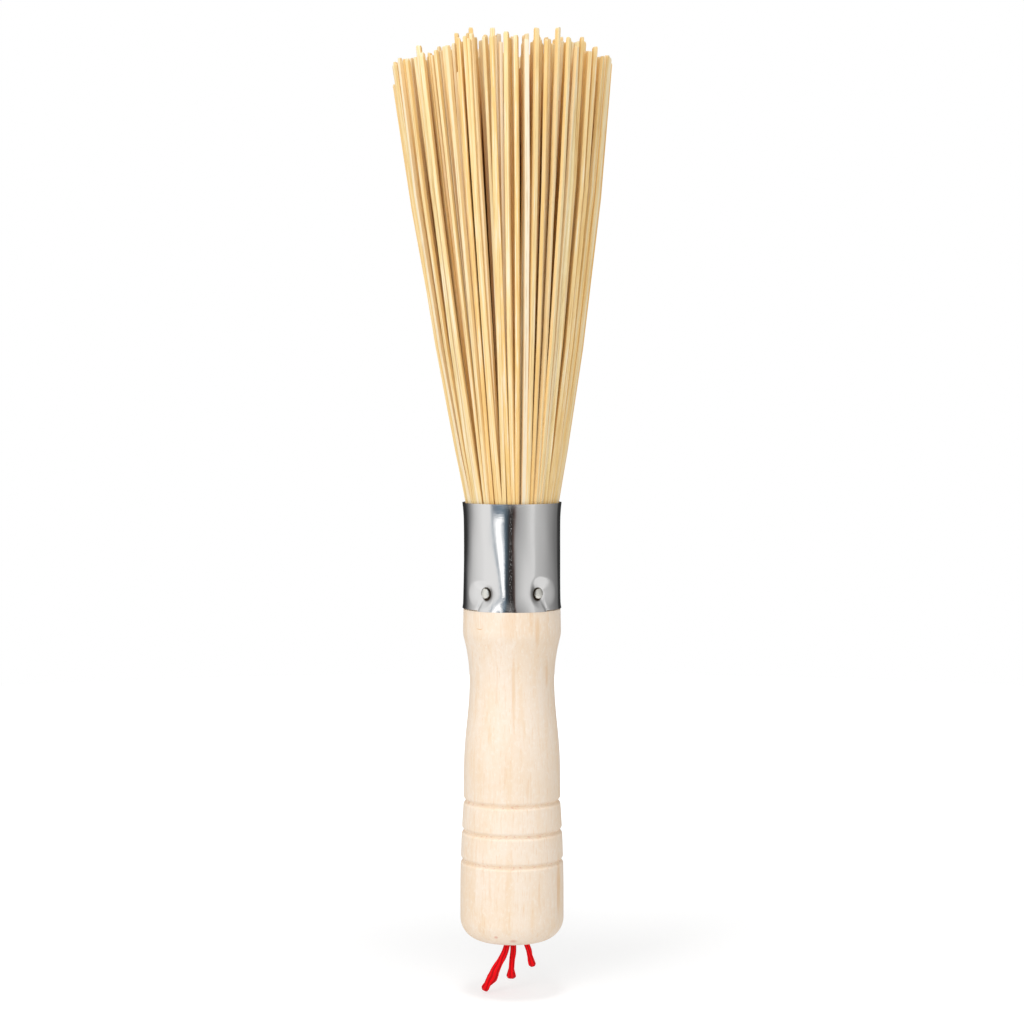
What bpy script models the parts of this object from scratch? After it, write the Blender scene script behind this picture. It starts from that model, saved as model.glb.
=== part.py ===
"""Wok brush: a turned wooden handle, a rolled tinplate ferrule nailed to it, and a fan of bamboo slivers.

Units are metres and +Z runs along the axis from the butt to the sliver tips. Heights in this file are
measured from the flat of the butt. Everything is parented to an empty that puts the origin in the middle
of the hand grip, at the narrowest place of the handle. The front of the brush faces -Y.
"""

import math
import random

import bmesh
import bpy
from mathutils import Matrix, Vector

# Clearances
GAP = 0.0003
CUT_OVERRUN = 0.002
MERGE_DISTANCE = 0.00001

# Handle, from the butt upwards: each stretch has its own length
BUTT_RADIUS = 0.0164
BUTT_ROUNDING = 0.0070
BUTT_LENGTH = 0.0140
GROOVED_LENGTH = 0.0305
BELLY_RADIUS = 0.0153
BELLY_LENGTH = 0.0070
SWELL_LENGTH = 0.0310
WAIST_RADIUS = 0.0134
COVE_LENGTH = 0.0147
SHOULDER_FLARE = 0.00025
NECK_LENGTH = 0.0083
NECK_INSET = 0.0004
GROOVE_COUNT = 3
GROOVE_PITCH = 0.00945
GROOVE_WIDTH = 0.0014
GROOVE_DEPTH = 0.0008
SWELL_LEAN_SHARE = 1.15
SPIGOT_LENGTH = 0.0135
SPIGOT_CHAMFER = 0.0015

# Blind bore in the butt that holds the cord's knot
CORD_BORE_RADIUS = 0.0050
CORD_BORE_DEPTH = 0.0310
DRILL_POINT_ANGLE = math.radians(118)

# Ferrule: a strip of tinplate rolled into a waisted sleeve, lapped at the back
FERRULE_LENGTH = 0.0336
FERRULE_WAIST_RADIUS = 0.01515
FERRULE_WAIST_HEIGHT = 0.0240
FERRULE_RIM_SWELL = 0.0003
FERRULE_MOUTH_SWELL = 0.00012
FERRULE_SHEET = 0.0004
LIP_FLARE = 0.00022
LIP_LENGTH = 0.0022
SEAM_LAP = 0.0060
SEAM_RAMP = 0.0050
DENT_DEPTH = 0.0007
DENT_WIDTH = 0.0033
DENT_RISE = 0.0050
DENT_RUNOUT = 0.0070
FERRULE_ROW_SHARES = (0, 0.035, 0.08, 0.13, 0.18, 0.24, 0.33, 0.5, 0.71, 0.86, 0.94, 1)

# Nails
NAIL_COUNT = 5
NAIL_HEIGHT = 0.0053
NAIL_LENGTH = 0.0100
NAIL_POINT = 0.0020
NAIL_SHANK_RADIUS = 0.00075
NAIL_HEAD_RADIUS = 0.0016
NAIL_HEAD_RISE = 0.0007
NAIL_HEAD_EDGE = 0.00025

# Bamboo slivers: one at the centre and rings of six, twelve, eighteen and so on round it
SLIVER_RINGS = 10
CORE_RINGS = 3
INNER_RINGS = 6
SECTORS = 6
TUFT_LENGTH = 0.1410
SLIVER_TIP_WIDTH = 0.0014
SLIVER_ROOT_SHARE = 0.7
FAN_RADIUS = 0.0350
FAN_LEAN = 0.0033
TRIM_SPREAD = 0.0018
LONG_SLIVER_EXTRA = 0.0035
LONG_SLIVER_SHARE = 0.07
STRAY_SHARE = 0.55
SLIVER_KNEE_SHARE = 0.35
SLIVER_BOW = 0.0013
ROOT_DEPTH_IN_MOUTH = 0.0017
SLIVER_SINK = 0.0010
TRIM_SEED = 11

# Wire that binds the bundle before it is driven into the ferrule
BINDING_WIRE_RADIUS = 0.0005

# Cord tails, hanging out of the bore
CORD_RADIUS = 0.00085
CORD_STEP_SHARE = 2.4
TAIL_ROUTES = {
    "cord_tail_left": (
        (-0.0015, -0.0018, 0.0218),
        (-0.0013, -0.0019, 0.0150),
        (-0.0008, -0.0018, 0.0080),
        (-0.0006, -0.0015, 0.0020),
        (-0.0017, -0.0014, -0.0026),
        (-0.0031, -0.0014, -0.0059),
        (-0.0045, -0.0015, -0.0087),
        (-0.0063, -0.0016, -0.0120),
        (-0.0081, -0.0017, -0.0152),
        (-0.0086, -0.0017, -0.0165),
    ),
    "cord_tail_middle": (
        (-0.0005, 0.0022, 0.0218),
        (-0.0002, 0.0022, 0.0150),
        (0.0002, 0.0019, 0.0080),
        (0.0005, 0.0013, 0.0020),
        (0.0004, 0.0012, -0.0026),
        (0.0002, 0.0011, -0.0059),
        (0.0000, 0.0011, -0.0087),
        (-0.0003, 0.0011, -0.0115),
        (-0.0005, 0.0011, -0.0132),
    ),
    "cord_tail_right": (
        (0.0025, -0.0004, 0.0218),
        (0.0028, -0.0003, 0.0150),
        (0.0032, -0.0001, 0.0080),
        (0.0036, 0.0001, 0.0020),
        (0.0047, 0.0001, -0.0023),
        (0.0053, 0.0001, -0.0040),
        (0.0058, 0.0000, -0.0059),
        (0.0063, 0.0000, -0.0078),
        (0.0067, 0.0000, -0.0091),
    ),
}

# How finely round things are divided
HANDLE_STEPS = 44
NAIL_STEPS = 14
SHEET_STEPS = 52
SECTOR_STEPS = 6
CORE_STEPS = 24
WIRE_POINTS = 28
ARC_STEPS = 5
SWELL_STEPS = 7
COVE_STEPS = 4
TAPER_STEPS = 5
WIRE_STEPS = 2
KNOT_STEPS = 2

# Places worked out from the sizes above
WIDEST_HEIGHT = BUTT_LENGTH
TOP_GROOVE_HEIGHT = WIDEST_HEIGHT + GROOVED_LENGTH
BELLY_HEIGHT = TOP_GROOVE_HEIGHT + BELLY_LENGTH
WAIST_HEIGHT = BELLY_HEIGHT + SWELL_LENGTH
SHOULDER_HEIGHT = WAIST_HEIGHT + COVE_LENGTH
HANDLE_LENGTH = SHOULDER_HEIGHT + NECK_LENGTH
SPIGOT_TOP = HANDLE_LENGTH + SPIGOT_LENGTH
RIM_HEIGHT = HANDLE_LENGTH + GAP
MOUTH_HEIGHT = RIM_HEIGHT + FERRULE_LENGTH
TRIM_HEIGHT = MOUTH_HEIGHT + TUFT_LENGTH
RIM_RADIUS = FERRULE_WAIST_RADIUS + FERRULE_RIM_SWELL + LIP_FLARE
NECK_RADIUS = RIM_RADIUS - NECK_INSET
SHOULDER_RADIUS = NECK_RADIUS + SHOULDER_FLARE
BACKING_RADIUS = FERRULE_WAIST_RADIUS - FERRULE_SHEET - GAP
BACKING_BOTTOM = SPIGOT_TOP + GAP
BACKING_TOP = MOUTH_HEIGHT - ROOT_DEPTH_IN_MOUTH
RING_PITCH = BACKING_RADIUS / (SLIVER_RINGS + 0.5)
SLIVER_ROOT_WIDTH = RING_PITCH * SLIVER_ROOT_SHARE
SEAM_STEP = FERRULE_SHEET + GAP
SQUARE_CORNERS = [math.pi / 2 * (i + 0.5) for i in range(4)]

WOOD_COLOUR = (0.91, 0.78, 0.62, 1.0)
TINPLATE_COLOUR = (0.70, 0.71, 0.73, 1.0)
NAIL_COLOUR = (0.72, 0.70, 0.62, 1.0)
BAMBOO_COLOUR = (0.79, 0.56, 0.26, 1.0)
WIRE_COLOUR = (0.35, 0.35, 0.36, 1.0)
CORD_COLOUR = (0.72, 0.01, 0.02, 1.0)


def clear_scene():
    for thing in list(bpy.data.objects):
        bpy.data.objects.remove(thing, do_unlink=True)


def make_collection(name):
    collection = bpy.data.collections.new(name)
    bpy.context.scene.collection.children.link(collection)
    return collection


def principled(name, colour, roughness, metallic):
    material = bpy.data.materials.new(name)
    material.use_nodes = True
    shader = material.node_tree.nodes["Principled BSDF"]
    shader.inputs["Base Color"].default_value = colour
    shader.inputs["Roughness"].default_value = roughness
    shader.inputs["Metallic"].default_value = metallic
    return material


def wood(name):
    return principled(name, WOOD_COLOUR, roughness=0.6, metallic=0.0)


def tinplate(name):
    return principled(name, TINPLATE_COLOUR, roughness=0.15, metallic=1.0)


def nail_steel(name):
    return principled(name, NAIL_COLOUR, roughness=0.3, metallic=1.0)


def bamboo(name):
    return principled(name, BAMBOO_COLOUR, roughness=0.5, metallic=0.0)


def binding_wire(name):
    return principled(name, WIRE_COLOUR, roughness=0.5, metallic=1.0)


def red_cord(name):
    return principled(name, CORD_COLOUR, roughness=0.7, metallic=0.0)


def add_part(name, data, finish, brush):
    """Link a piece into the brush's collection, on the brush's origin, in its own material."""
    part = bpy.data.objects.new(name, data)
    brush["parts"].objects.link(part)
    part.parent = brush["origin"]
    data.materials.append(finish(name + "_finish"))
    return part


def add_cutter(name, data, brush):
    cutter = bpy.data.objects.new(name, data)
    brush["cutters"].objects.link(cutter)
    cutter.parent = brush["origin"]
    cutter.hide_render = True
    cutter.display_type = "WIRE"
    return cutter


def mesh_from(name, shape):
    mesh = bpy.data.meshes.new(name)
    shape.to_mesh(mesh)
    shape.free()
    return mesh


def line_mesh(name, outline):
    """A mesh of one open line of points in the XZ plane, for a Screw modifier to turn."""
    places = [(radius, 0, height) for radius, height in outline]
    links = [(i, i + 1) for i in range(len(places) - 1)]
    mesh = bpy.data.meshes.new(name)
    mesh.from_pydata(places, links, [])
    return mesh


def turn(part, steps):
    screw = part.modifiers.new("turned", "SCREW")
    screw.steps = steps
    screw.render_steps = steps
    screw.use_merge_vertices = True
    screw.merge_threshold = MERGE_DISTANCE
    screw.use_smooth_shade = True


def boolean(part, cutter, operation):
    modifier = part.modifiers.new(cutter.name, "BOOLEAN")
    modifier.operation = operation
    modifier.object = cutter
    modifier.solver = "EXACT"


def between(low, high, steps):
    return [low + (high - low) * i / steps for i in range(steps + 1)]


def direction(angle):
    """A level direction: angle 0 is the front, and it grows towards +X."""
    return Vector((math.sin(angle), -math.cos(angle), 0))


def facing(angle):
    """A turn that brings +Z to direction(angle)."""
    return Matrix.Rotation(angle, 4, "Z") @ Matrix.Rotation(math.pi / 2, 4, "X")


# Handle


def grip_radius(height):
    """The handle's radius, without its grooves and its rounded butt."""
    if height <= WIDEST_HEIGHT:
        return BUTT_RADIUS
    if height <= TOP_GROOVE_HEIGHT:
        along = (height - WIDEST_HEIGHT) / GROOVED_LENGTH
        return BUTT_RADIUS + (BELLY_RADIUS - BUTT_RADIUS) * along**2
    if height <= BELLY_HEIGHT:
        return BELLY_RADIUS
    if height <= WAIST_HEIGHT:
        along = ((height - BELLY_HEIGHT) / SWELL_LENGTH) ** SWELL_LEAN_SHARE
        return BELLY_RADIUS + (WAIST_RADIUS - BELLY_RADIUS) * (1 - math.cos(math.pi * along)) / 2
    if height <= SHOULDER_HEIGHT:
        along = (height - WAIST_HEIGHT) / COVE_LENGTH
        return WAIST_RADIUS + (SHOULDER_RADIUS - WAIST_RADIUS) * along**2
    along = (height - SHOULDER_HEIGHT) / NECK_LENGTH
    return SHOULDER_RADIUS + (NECK_RADIUS - SHOULDER_RADIUS) * along


def groove_heights():
    return [TOP_GROOVE_HEIGHT - GROOVE_PITCH * i for i in range(GROOVE_COUNT)]


def near_groove(height):
    return any(abs(height - groove) < GROOVE_WIDTH for groove in groove_heights())


def grip_outline():
    """The outer side from the neck down to the rounded butt, with its V grooves."""
    heights = [HANDLE_LENGTH]
    heights += between(SHOULDER_HEIGHT, WAIST_HEIGHT, COVE_STEPS)
    heights += between(WAIST_HEIGHT, BELLY_HEIGHT, SWELL_STEPS)[1:]
    heights += between(TOP_GROOVE_HEIGHT, WIDEST_HEIGHT, TAPER_STEPS)
    heights = [h for h in heights if not near_groove(h)]
    outline = [(grip_radius(h), h) for h in heights]
    for groove in groove_heights():
        for side in (GROOVE_WIDTH / 2, -GROOVE_WIDTH / 2):
            outline.append((grip_radius(groove + side), groove + side))
        outline.append((grip_radius(groove) - GROOVE_DEPTH, groove))
    outline.sort(key=lambda point: -point[1])
    for i in range(ARC_STEPS + 1):
        turned = math.pi / 2 * i / ARC_STEPS
        outline.append(
            (
                BUTT_RADIUS - BUTT_ROUNDING * (1 - math.cos(turned)),
                BUTT_ROUNDING * (1 - math.sin(turned)),
            )
        )
    return outline


def spigot_radius():
    """The spigot clears the ferrule where the nails pull the sheet in."""
    return ferrule_radius(NAIL_HEIGHT) - FERRULE_SHEET - DENT_DEPTH - GAP


def handle_outline():
    spigot = spigot_radius()
    outline = [
        (0, SPIGOT_TOP),
        (spigot - SPIGOT_CHAMFER, SPIGOT_TOP),
        (spigot, SPIGOT_TOP - SPIGOT_CHAMFER),
        (spigot, HANDLE_LENGTH),
    ]
    outline += grip_outline()
    drill_point = CORD_BORE_RADIUS / math.tan(DRILL_POINT_ANGLE / 2)
    outline += [
        (CORD_BORE_RADIUS, 0),
        (CORD_BORE_RADIUS, CORD_BORE_DEPTH),
        (0, CORD_BORE_DEPTH + drill_point),
    ]
    return outline


def make_handle(brush):
    handle = add_part("handle", line_mesh("handle", handle_outline()), wood, brush)
    turn(handle, HANDLE_STEPS)
    boolean(handle, nail_hole_cutter("pilot_holes", brush), "DIFFERENCE")


# Ferrule


def ferrule_radius(up):
    """The sleeve's outer radius at a height above its lower rim."""
    if up < FERRULE_WAIST_HEIGHT:
        along = 1 - up / FERRULE_WAIST_HEIGHT
        radius = FERRULE_WAIST_RADIUS + FERRULE_RIM_SWELL * along**2
    else:
        along = (up - FERRULE_WAIST_HEIGHT) / (FERRULE_LENGTH - FERRULE_WAIST_HEIGHT)
        radius = FERRULE_WAIST_RADIUS + FERRULE_MOUTH_SWELL * along**2
    nearest_end = min(up, FERRULE_LENGTH - up)
    return radius + LIP_FLARE * max(0, 1 - nearest_end / LIP_LENGTH) ** 2


def nail_angles():
    """The nails are evenly spaced, with one through the lap at the back."""
    return [math.pi + 2 * math.pi * i / NAIL_COUNT for i in range(NAIL_COUNT)]


def dent(angle, up):
    """How far the sheet is drawn in round the nails: less far above a nail than down to the rim."""
    reach = DENT_RISE if up > NAIL_HEIGHT else DENT_RUNOUT
    pulled = 0
    for nail in nail_angles():
        across = math.remainder(angle - nail, 2 * math.pi) * FERRULE_WAIST_RADIUS / DENT_WIDTH
        along = (up - NAIL_HEIGHT) / reach
        pulled = max(pulled, DENT_DEPTH * math.exp(-(across**2) - along**2))
    return pulled


def seam_lift(angle):
    """The sheet's outer end rides up over its inner end by one thickness and a gap."""
    half_lap = SEAM_LAP / 2 / FERRULE_WAIST_RADIUS
    ramp = SEAM_RAMP / FERRULE_WAIST_RADIUS
    along = (angle - (math.pi - half_lap - ramp)) / ramp
    along = min(max(along, 0), 1)
    return SEAM_STEP * along**2 * (3 - 2 * along)


def make_ferrule(brush):
    half_lap = SEAM_LAP / 2 / FERRULE_WAIST_RADIUS
    rows = len(FERRULE_ROW_SHARES) - 1
    shape = bmesh.new()
    bmesh.ops.create_grid(shape, x_segments=SHEET_STEPS, y_segments=rows, size=1)
    for vert in shape.verts:
        angle = vert.co.x * (math.pi + half_lap)
        row = round((vert.co.y + 1) / 2 * rows)
        up = FERRULE_ROW_SHARES[row] * FERRULE_LENGTH
        radius = ferrule_radius(up) - dent(angle, up) + seam_lift(angle)
        vert.co = direction(angle) * radius + Vector((0, 0, RIM_HEIGHT + up))
    for face in shape.faces:
        face.smooth = True
    ferrule = add_part("ferrule", mesh_from("ferrule", shape), tinplate, brush)
    wall = ferrule.modifiers.new("sheet", "SOLIDIFY")
    wall.thickness = FERRULE_SHEET
    wall.offset = -1
    boolean(ferrule, nail_hole_cutter("sheet_holes", brush), "DIFFERENCE")


# Nails


def nail_seat(angle):
    """How far from the axis the underside of a nail's head lies."""
    at_back = abs(math.remainder(angle - math.pi, 2 * math.pi)) < SEAM_LAP / 2 / FERRULE_WAIST_RADIUS
    lift = SEAM_STEP if at_back else 0
    return ferrule_radius(NAIL_HEIGHT) - DENT_DEPTH + lift + GAP


def nail_hole_cutter(name, brush):
    """A clearance hole for each nail, from outside its head to past its point."""
    shape = bmesh.new()
    for angle in nail_angles():
        length = NAIL_LENGTH + GAP + CUT_OVERRUN
        middle = nail_seat(angle) + CUT_OVERRUN - length / 2
        place = Matrix.Translation(direction(angle) * middle + Vector((0, 0, RIM_HEIGHT + NAIL_HEIGHT)))
        radius = NAIL_SHANK_RADIUS + GAP
        bmesh.ops.create_cone(
            shape,
            cap_ends=True,
            segments=NAIL_STEPS,
            radius1=radius,
            radius2=radius,
            depth=length,
            matrix=place @ facing(angle),
        )
    return add_cutter(name, mesh_from(name, shape), brush)


def nail_outline():
    """A nail with its head at the top: a low dome on a thin edge, a round shank and a point."""
    outline = []
    dome = NAIL_HEAD_RISE - NAIL_HEAD_EDGE
    for i in range(ARC_STEPS):
        turned = math.pi / 2 * i / (ARC_STEPS - 1)
        outline.append((NAIL_HEAD_RADIUS * math.sin(turned), NAIL_HEAD_EDGE + dome * math.cos(turned)))
    outline += [
        (NAIL_HEAD_RADIUS, 0),
        (NAIL_SHANK_RADIUS, 0),
        (NAIL_SHANK_RADIUS, NAIL_POINT - NAIL_LENGTH),
        (0, -NAIL_LENGTH),
    ]
    return outline


def make_nails(brush):
    for number, angle in enumerate(nail_angles(), start=1):
        name = f"ferrule_nail_{number}"
        nail = add_part(name, line_mesh(name, nail_outline()), nail_steel, brush)
        turn(nail, NAIL_STEPS)
        nail.location = direction(angle) * nail_seat(angle) + Vector((0, 0, RIM_HEIGHT + NAIL_HEIGHT))
        nail.rotation_euler = facing(angle).to_euler()


# Bamboo slivers


def sliver_places():
    """Each sliver's ring, sector and place at the root, ring by ring."""
    places = [(0, 0, Vector((0, 0, 0)))]
    for ring in range(1, SLIVER_RINGS + 1):
        for i in range(SECTORS * ring):
            angle = 2 * math.pi * (i + 0.5) / (SECTORS * ring)
            places.append((ring, i // ring, direction(angle) * RING_PITCH * ring))
    return places


def sliver_paths():
    """Each sliver's ring, sector and stations, from its root by a knee to its tip.

    Slivers fan out evenly. The outermost ones leave the mouth at the steepest angle and bow back, and a
    little stray at the tip can't bring two together.
    """
    chance = random.Random(TRIM_SEED)
    spread = (FAN_RADIUS - SLIVER_TIP_WIDTH) / (RING_PITCH * SLIVER_RINGS)
    stray = STRAY_SHARE * (RING_PITCH * spread - SLIVER_TIP_WIDTH) / 2
    paths = []
    for ring, sector, root in sliver_places():
        lean = Vector((-FAN_LEAN, 0, 0))
        astray = Vector((chance.uniform(-stray, stray), chance.uniform(-stray, stray), 0))
        height = TRIM_HEIGHT + chance.uniform(-TRIM_SPREAD, TRIM_SPREAD)
        if chance.random() < LONG_SLIVER_SHARE:
            height += LONG_SLIVER_EXTRA
        start = root + Vector((0, 0, BACKING_TOP - SLIVER_SINK))
        tip = root * spread + lean + astray + Vector((0, 0, height))
        knee = start.lerp(tip, SLIVER_KNEE_SHARE) + root * (SLIVER_BOW / (RING_PITCH * SLIVER_RINGS))
        knee_width = SLIVER_ROOT_WIDTH + (SLIVER_TIP_WIDTH - SLIVER_ROOT_WIDTH) * SLIVER_KNEE_SHARE
        stations = [(start, SLIVER_ROOT_WIDTH), (knee, knee_width), (tip, SLIVER_TIP_WIDTH)]
        if ring <= INNER_RINGS:
            del stations[1]
        paths.append((ring, sector, stations))
    return paths


def add_sliver(shape, stations):
    """A four-sided sliver lofted through its stations, with a flat side towards the brush's axis."""
    root = stations[0][0]
    spin = math.atan2(root.y, root.x)
    corners = [Vector((math.cos(spin + turn), math.sin(spin + turn), 0)) for turn in SQUARE_CORNERS]
    rows = []
    for place, width in stations:
        rows.append([shape.verts.new(place + corner * width / math.sqrt(2)) for corner in corners])
    for low, high in zip(rows, rows[1:]):
        for i in range(len(corners)):
            shape.faces.new((low[i - 1], low[i], high[i], high[i - 1]))
    shape.faces.new(reversed(rows[0]))
    shape.faces.new(rows[-1])


def backing_outline(inner, outer):
    """The section of a ring of packed roots, with a groove for the wire if it is the outermost ring."""
    outline = [(inner, BACKING_BOTTOM), (outer, BACKING_BOTTOM)]
    if outer == BACKING_RADIUS:
        half = BINDING_WIRE_RADIUS + GAP
        middle = (BACKING_BOTTOM + BACKING_TOP) / 2
        floor = outer - half * 2
        outline += [
            (outer, middle - half),
            (floor, middle - half),
            (floor, middle + half),
            (outer, middle + half),
        ]
    outline += [(outer, BACKING_TOP), (inner, BACKING_TOP)]
    return outline


def backing_sector(name, sector, inner, outer):
    """A slice of the packed roots: its section swept round one sector, less half a gap at each side."""
    trim = GAP / 2 / inner
    start = sector * 2 * math.pi / SECTORS + trim
    sweep = 2 * math.pi / SECTORS - trim * 2
    shape = bmesh.new()
    outline = backing_outline(inner, outer)
    corners = [shape.verts.new(direction(start) * radius + Vector((0, 0, z))) for radius, z in outline]
    section = shape.faces.new(corners)
    bmesh.ops.spin(
        shape,
        geom=[section, *section.edges, *section.verts],
        cent=(0, 0, 0),
        axis=(0, 0, 1),
        angle=sweep,
        steps=SECTOR_STEPS,
    )
    bmesh.ops.recalc_face_normals(shape, faces=shape.faces)
    return mesh_from(name, shape)


def backing_core(name, radius):
    shape = bmesh.new()
    height = BACKING_TOP - BACKING_BOTTOM
    bmesh.ops.create_cone(
        shape,
        cap_ends=True,
        cap_tris=True,
        segments=CORE_STEPS,
        radius1=radius,
        radius2=radius,
        depth=height,
        matrix=Matrix.Translation((0, 0, BACKING_BOTTOM + height / 2)),
    )
    return mesh_from(name, shape)


def make_tuft(name, backing, paths, brush):
    """A bundle of slivers fused to its slice of the packed roots."""
    shape = bmesh.new()
    for stations in paths:
        add_sliver(shape, stations)
    slivers = add_cutter(name + "_slivers", mesh_from(name + "_slivers", shape), brush)
    tuft = add_part(name, backing, bamboo, brush)
    boolean(tuft, slivers, "UNION")


def make_tufts(brush):
    core_edge = RING_PITCH * (CORE_RINGS + 0.5)
    inner_edge = RING_PITCH * (INNER_RINGS + 0.5)
    paths = sliver_paths()
    core = [stations for ring, _, stations in paths if ring <= CORE_RINGS]
    make_tuft("bamboo_core", backing_core("bamboo_core", core_edge - GAP / 2), core, brush)
    layers = (
        ("bamboo_inner", CORE_RINGS, INNER_RINGS, core_edge + GAP / 2, inner_edge - GAP / 2),
        ("bamboo_outer", INNER_RINGS, SLIVER_RINGS, inner_edge + GAP / 2, BACKING_RADIUS),
    )
    for layer, above, last, inner, outer in layers:
        for sector in range(SECTORS):
            name = f"{layer}_{sector + 1}"
            mine = [stations for ring, at, stations in paths if above < ring <= last and at == sector]
            make_tuft(name, backing_sector(name, sector, inner, outer), mine, brush)


# Binding wire


def curve_part(name, points, radius, closed, finish, brush):
    """A round wire or cord through the given points."""
    curve = bpy.data.curves.new(name, "CURVE")
    curve.dimensions = "3D"
    curve.bevel_depth = radius
    curve.bevel_resolution = WIRE_STEPS
    curve.use_fill_caps = not closed
    spline = curve.splines.new("POLY")
    spline.points.add(len(points) - 1)
    for point, place in zip(spline.points, points):
        point.co = (*place, 1)
    spline.use_cyclic_u = closed
    spline.use_smooth = True
    return add_part(name, curve, finish, brush)


def make_binding(brush):
    """A ring of wire that lies in the groove round the packed roots."""
    radius = BACKING_RADIUS - BINDING_WIRE_RADIUS - GAP
    height = (BACKING_BOTTOM + BACKING_TOP) / 2
    angles = [2 * math.pi * i / WIRE_POINTS for i in range(WIRE_POINTS)]
    points = [direction(angle) * radius + Vector((0, 0, height)) for angle in angles]
    curve_part("root_binding_wire", points, BINDING_WIRE_RADIUS, True, binding_wire, brush)


# Cord


def smooth_route(places):
    """Points along a smooth curve through the route's places, a couple of cord widths apart."""
    knots = [Vector(place) for place in places]
    knots = [knots[0] * 2 - knots[1], *knots, knots[-1] * 2 - knots[-2]]
    fine = []
    for a, b, c, d in zip(knots, knots[1:], knots[2:], knots[3:]):
        for step in range(ARC_STEPS * 2):
            t = step / (ARC_STEPS * 2)
            straight = (c - a) * t
            bend = (a * 2 - b * 5 + c * 4 - d) * t**2
            twist = (b * 3 - a - c * 3 + d) * t**3
            fine.append((b * 2 + straight + bend + twist) / 2)
    fine.append(knots[-2])
    lengths = [0]
    for here, there in zip(fine, fine[1:]):
        lengths.append(lengths[-1] + (there - here).length)
    count = max(3, math.ceil(lengths[-1] / (CORD_RADIUS * 2 * CORD_STEP_SHARE)))
    points = []
    for wanted in between(0, lengths[-1], count):
        i = max(k for k in range(len(lengths) - 1) if lengths[k] <= wanted)
        share = (wanted - lengths[i]) / (lengths[i + 1] - lengths[i])
        points.append(fine[i].lerp(fine[i + 1], share))
    return points


def make_cord(brush):
    for name, route in TAIL_ROUTES.items():
        curve_part(name, smooth_route(route), CORD_RADIUS, False, red_cord, brush)
    radius = CORD_BORE_RADIUS - GAP
    shape = bmesh.new()
    place = Matrix.Translation((0, 0, CORD_BORE_DEPTH - radius))
    bmesh.ops.create_icosphere(shape, subdivisions=KNOT_STEPS, radius=radius, matrix=place)
    add_part("cord_knot", mesh_from("cord_knot", shape), red_cord, brush)


def main():
    clear_scene()
    brush = {
        "parts": make_collection("wok_brush"),
        "cutters": make_collection("wok_brush_cutters"),
        "origin": bpy.data.objects.new("hand_grip_origin", None),
    }
    brush["parts"].objects.link(brush["origin"])
    brush["origin"].location = (0, 0, -WAIST_HEIGHT)
    make_handle(brush)
    make_ferrule(brush)
    make_nails(brush)
    make_tufts(brush)
    make_binding(brush)
    make_cord(brush)


main()
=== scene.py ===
"""Looks of a wok brush: a turned wooden handle, a nailed tinplate ferrule and a fan of bamboo slivers.

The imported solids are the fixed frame, in metres: z is 0 at the waist of the grip, and the front faces -Y.
Each operator builds one piece, or one group of like pieces, as surfaces worked out with numpy.
"""

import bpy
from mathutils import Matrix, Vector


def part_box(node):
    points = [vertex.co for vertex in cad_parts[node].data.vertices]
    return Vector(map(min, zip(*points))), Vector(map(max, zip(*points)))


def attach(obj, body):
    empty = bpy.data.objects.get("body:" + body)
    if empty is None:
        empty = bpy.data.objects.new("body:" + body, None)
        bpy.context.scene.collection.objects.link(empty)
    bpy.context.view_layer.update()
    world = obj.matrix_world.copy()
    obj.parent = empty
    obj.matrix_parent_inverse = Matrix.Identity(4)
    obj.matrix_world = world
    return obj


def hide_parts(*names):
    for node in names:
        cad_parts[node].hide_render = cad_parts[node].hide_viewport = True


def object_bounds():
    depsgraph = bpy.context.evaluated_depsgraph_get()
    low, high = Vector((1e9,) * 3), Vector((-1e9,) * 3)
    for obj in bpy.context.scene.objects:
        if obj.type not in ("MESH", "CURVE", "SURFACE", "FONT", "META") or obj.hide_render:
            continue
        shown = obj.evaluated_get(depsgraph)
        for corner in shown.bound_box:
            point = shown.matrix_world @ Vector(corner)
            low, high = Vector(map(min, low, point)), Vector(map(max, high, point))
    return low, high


bl_info = {
    "name": "Wok Brush",
    "version": (1, 0, 0),
    "blender": (4, 5, 0),
    "location": "3D View > Sidebar > Wok Brush",
    "description": "Dresses the packed wok brush in wood, tinplate, bamboo and cord",
    "category": "Add Mesh",
}

import math

import bpy
import numpy as np
from bpy.props import FloatProperty, FloatVectorProperty, IntProperty, PointerProperty
from bpy.types import Operator, Panel, PropertyGroup
from mathutils import Vector

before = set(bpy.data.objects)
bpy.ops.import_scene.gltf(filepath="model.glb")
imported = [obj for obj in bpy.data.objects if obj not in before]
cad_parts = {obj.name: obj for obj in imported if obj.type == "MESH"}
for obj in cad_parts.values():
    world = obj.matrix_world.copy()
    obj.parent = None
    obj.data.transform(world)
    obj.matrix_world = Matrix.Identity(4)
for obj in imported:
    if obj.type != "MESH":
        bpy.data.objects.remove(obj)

# Places read from the frame
CAD_BOX = [list(corner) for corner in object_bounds()]
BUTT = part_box("handle")[0].z
SPIGOT_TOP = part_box("handle")[1].z
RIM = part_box("ferrule")[0].z
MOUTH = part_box("ferrule")[1].z
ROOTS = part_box("bamboo_core")[0].z
CORD_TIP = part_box("cord_tail_left")[0].z
FAN_BOXES = [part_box(name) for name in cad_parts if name.startswith("bamboo")]
FAN_LEFT = min(low.x for low, high in FAN_BOXES)
FAN_RIGHT = max(high.x for low, high in FAN_BOXES)
LONGEST_TIP = max(high.z for low, high in FAN_BOXES)
WIRE_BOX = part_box("root_binding_wire")
WIRE_HEIGHT = (WIRE_BOX[0].z + WIRE_BOX[1].z) / 2
WIRE_REACH = WIRE_BOX[1].x
BODY = "root"


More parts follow.
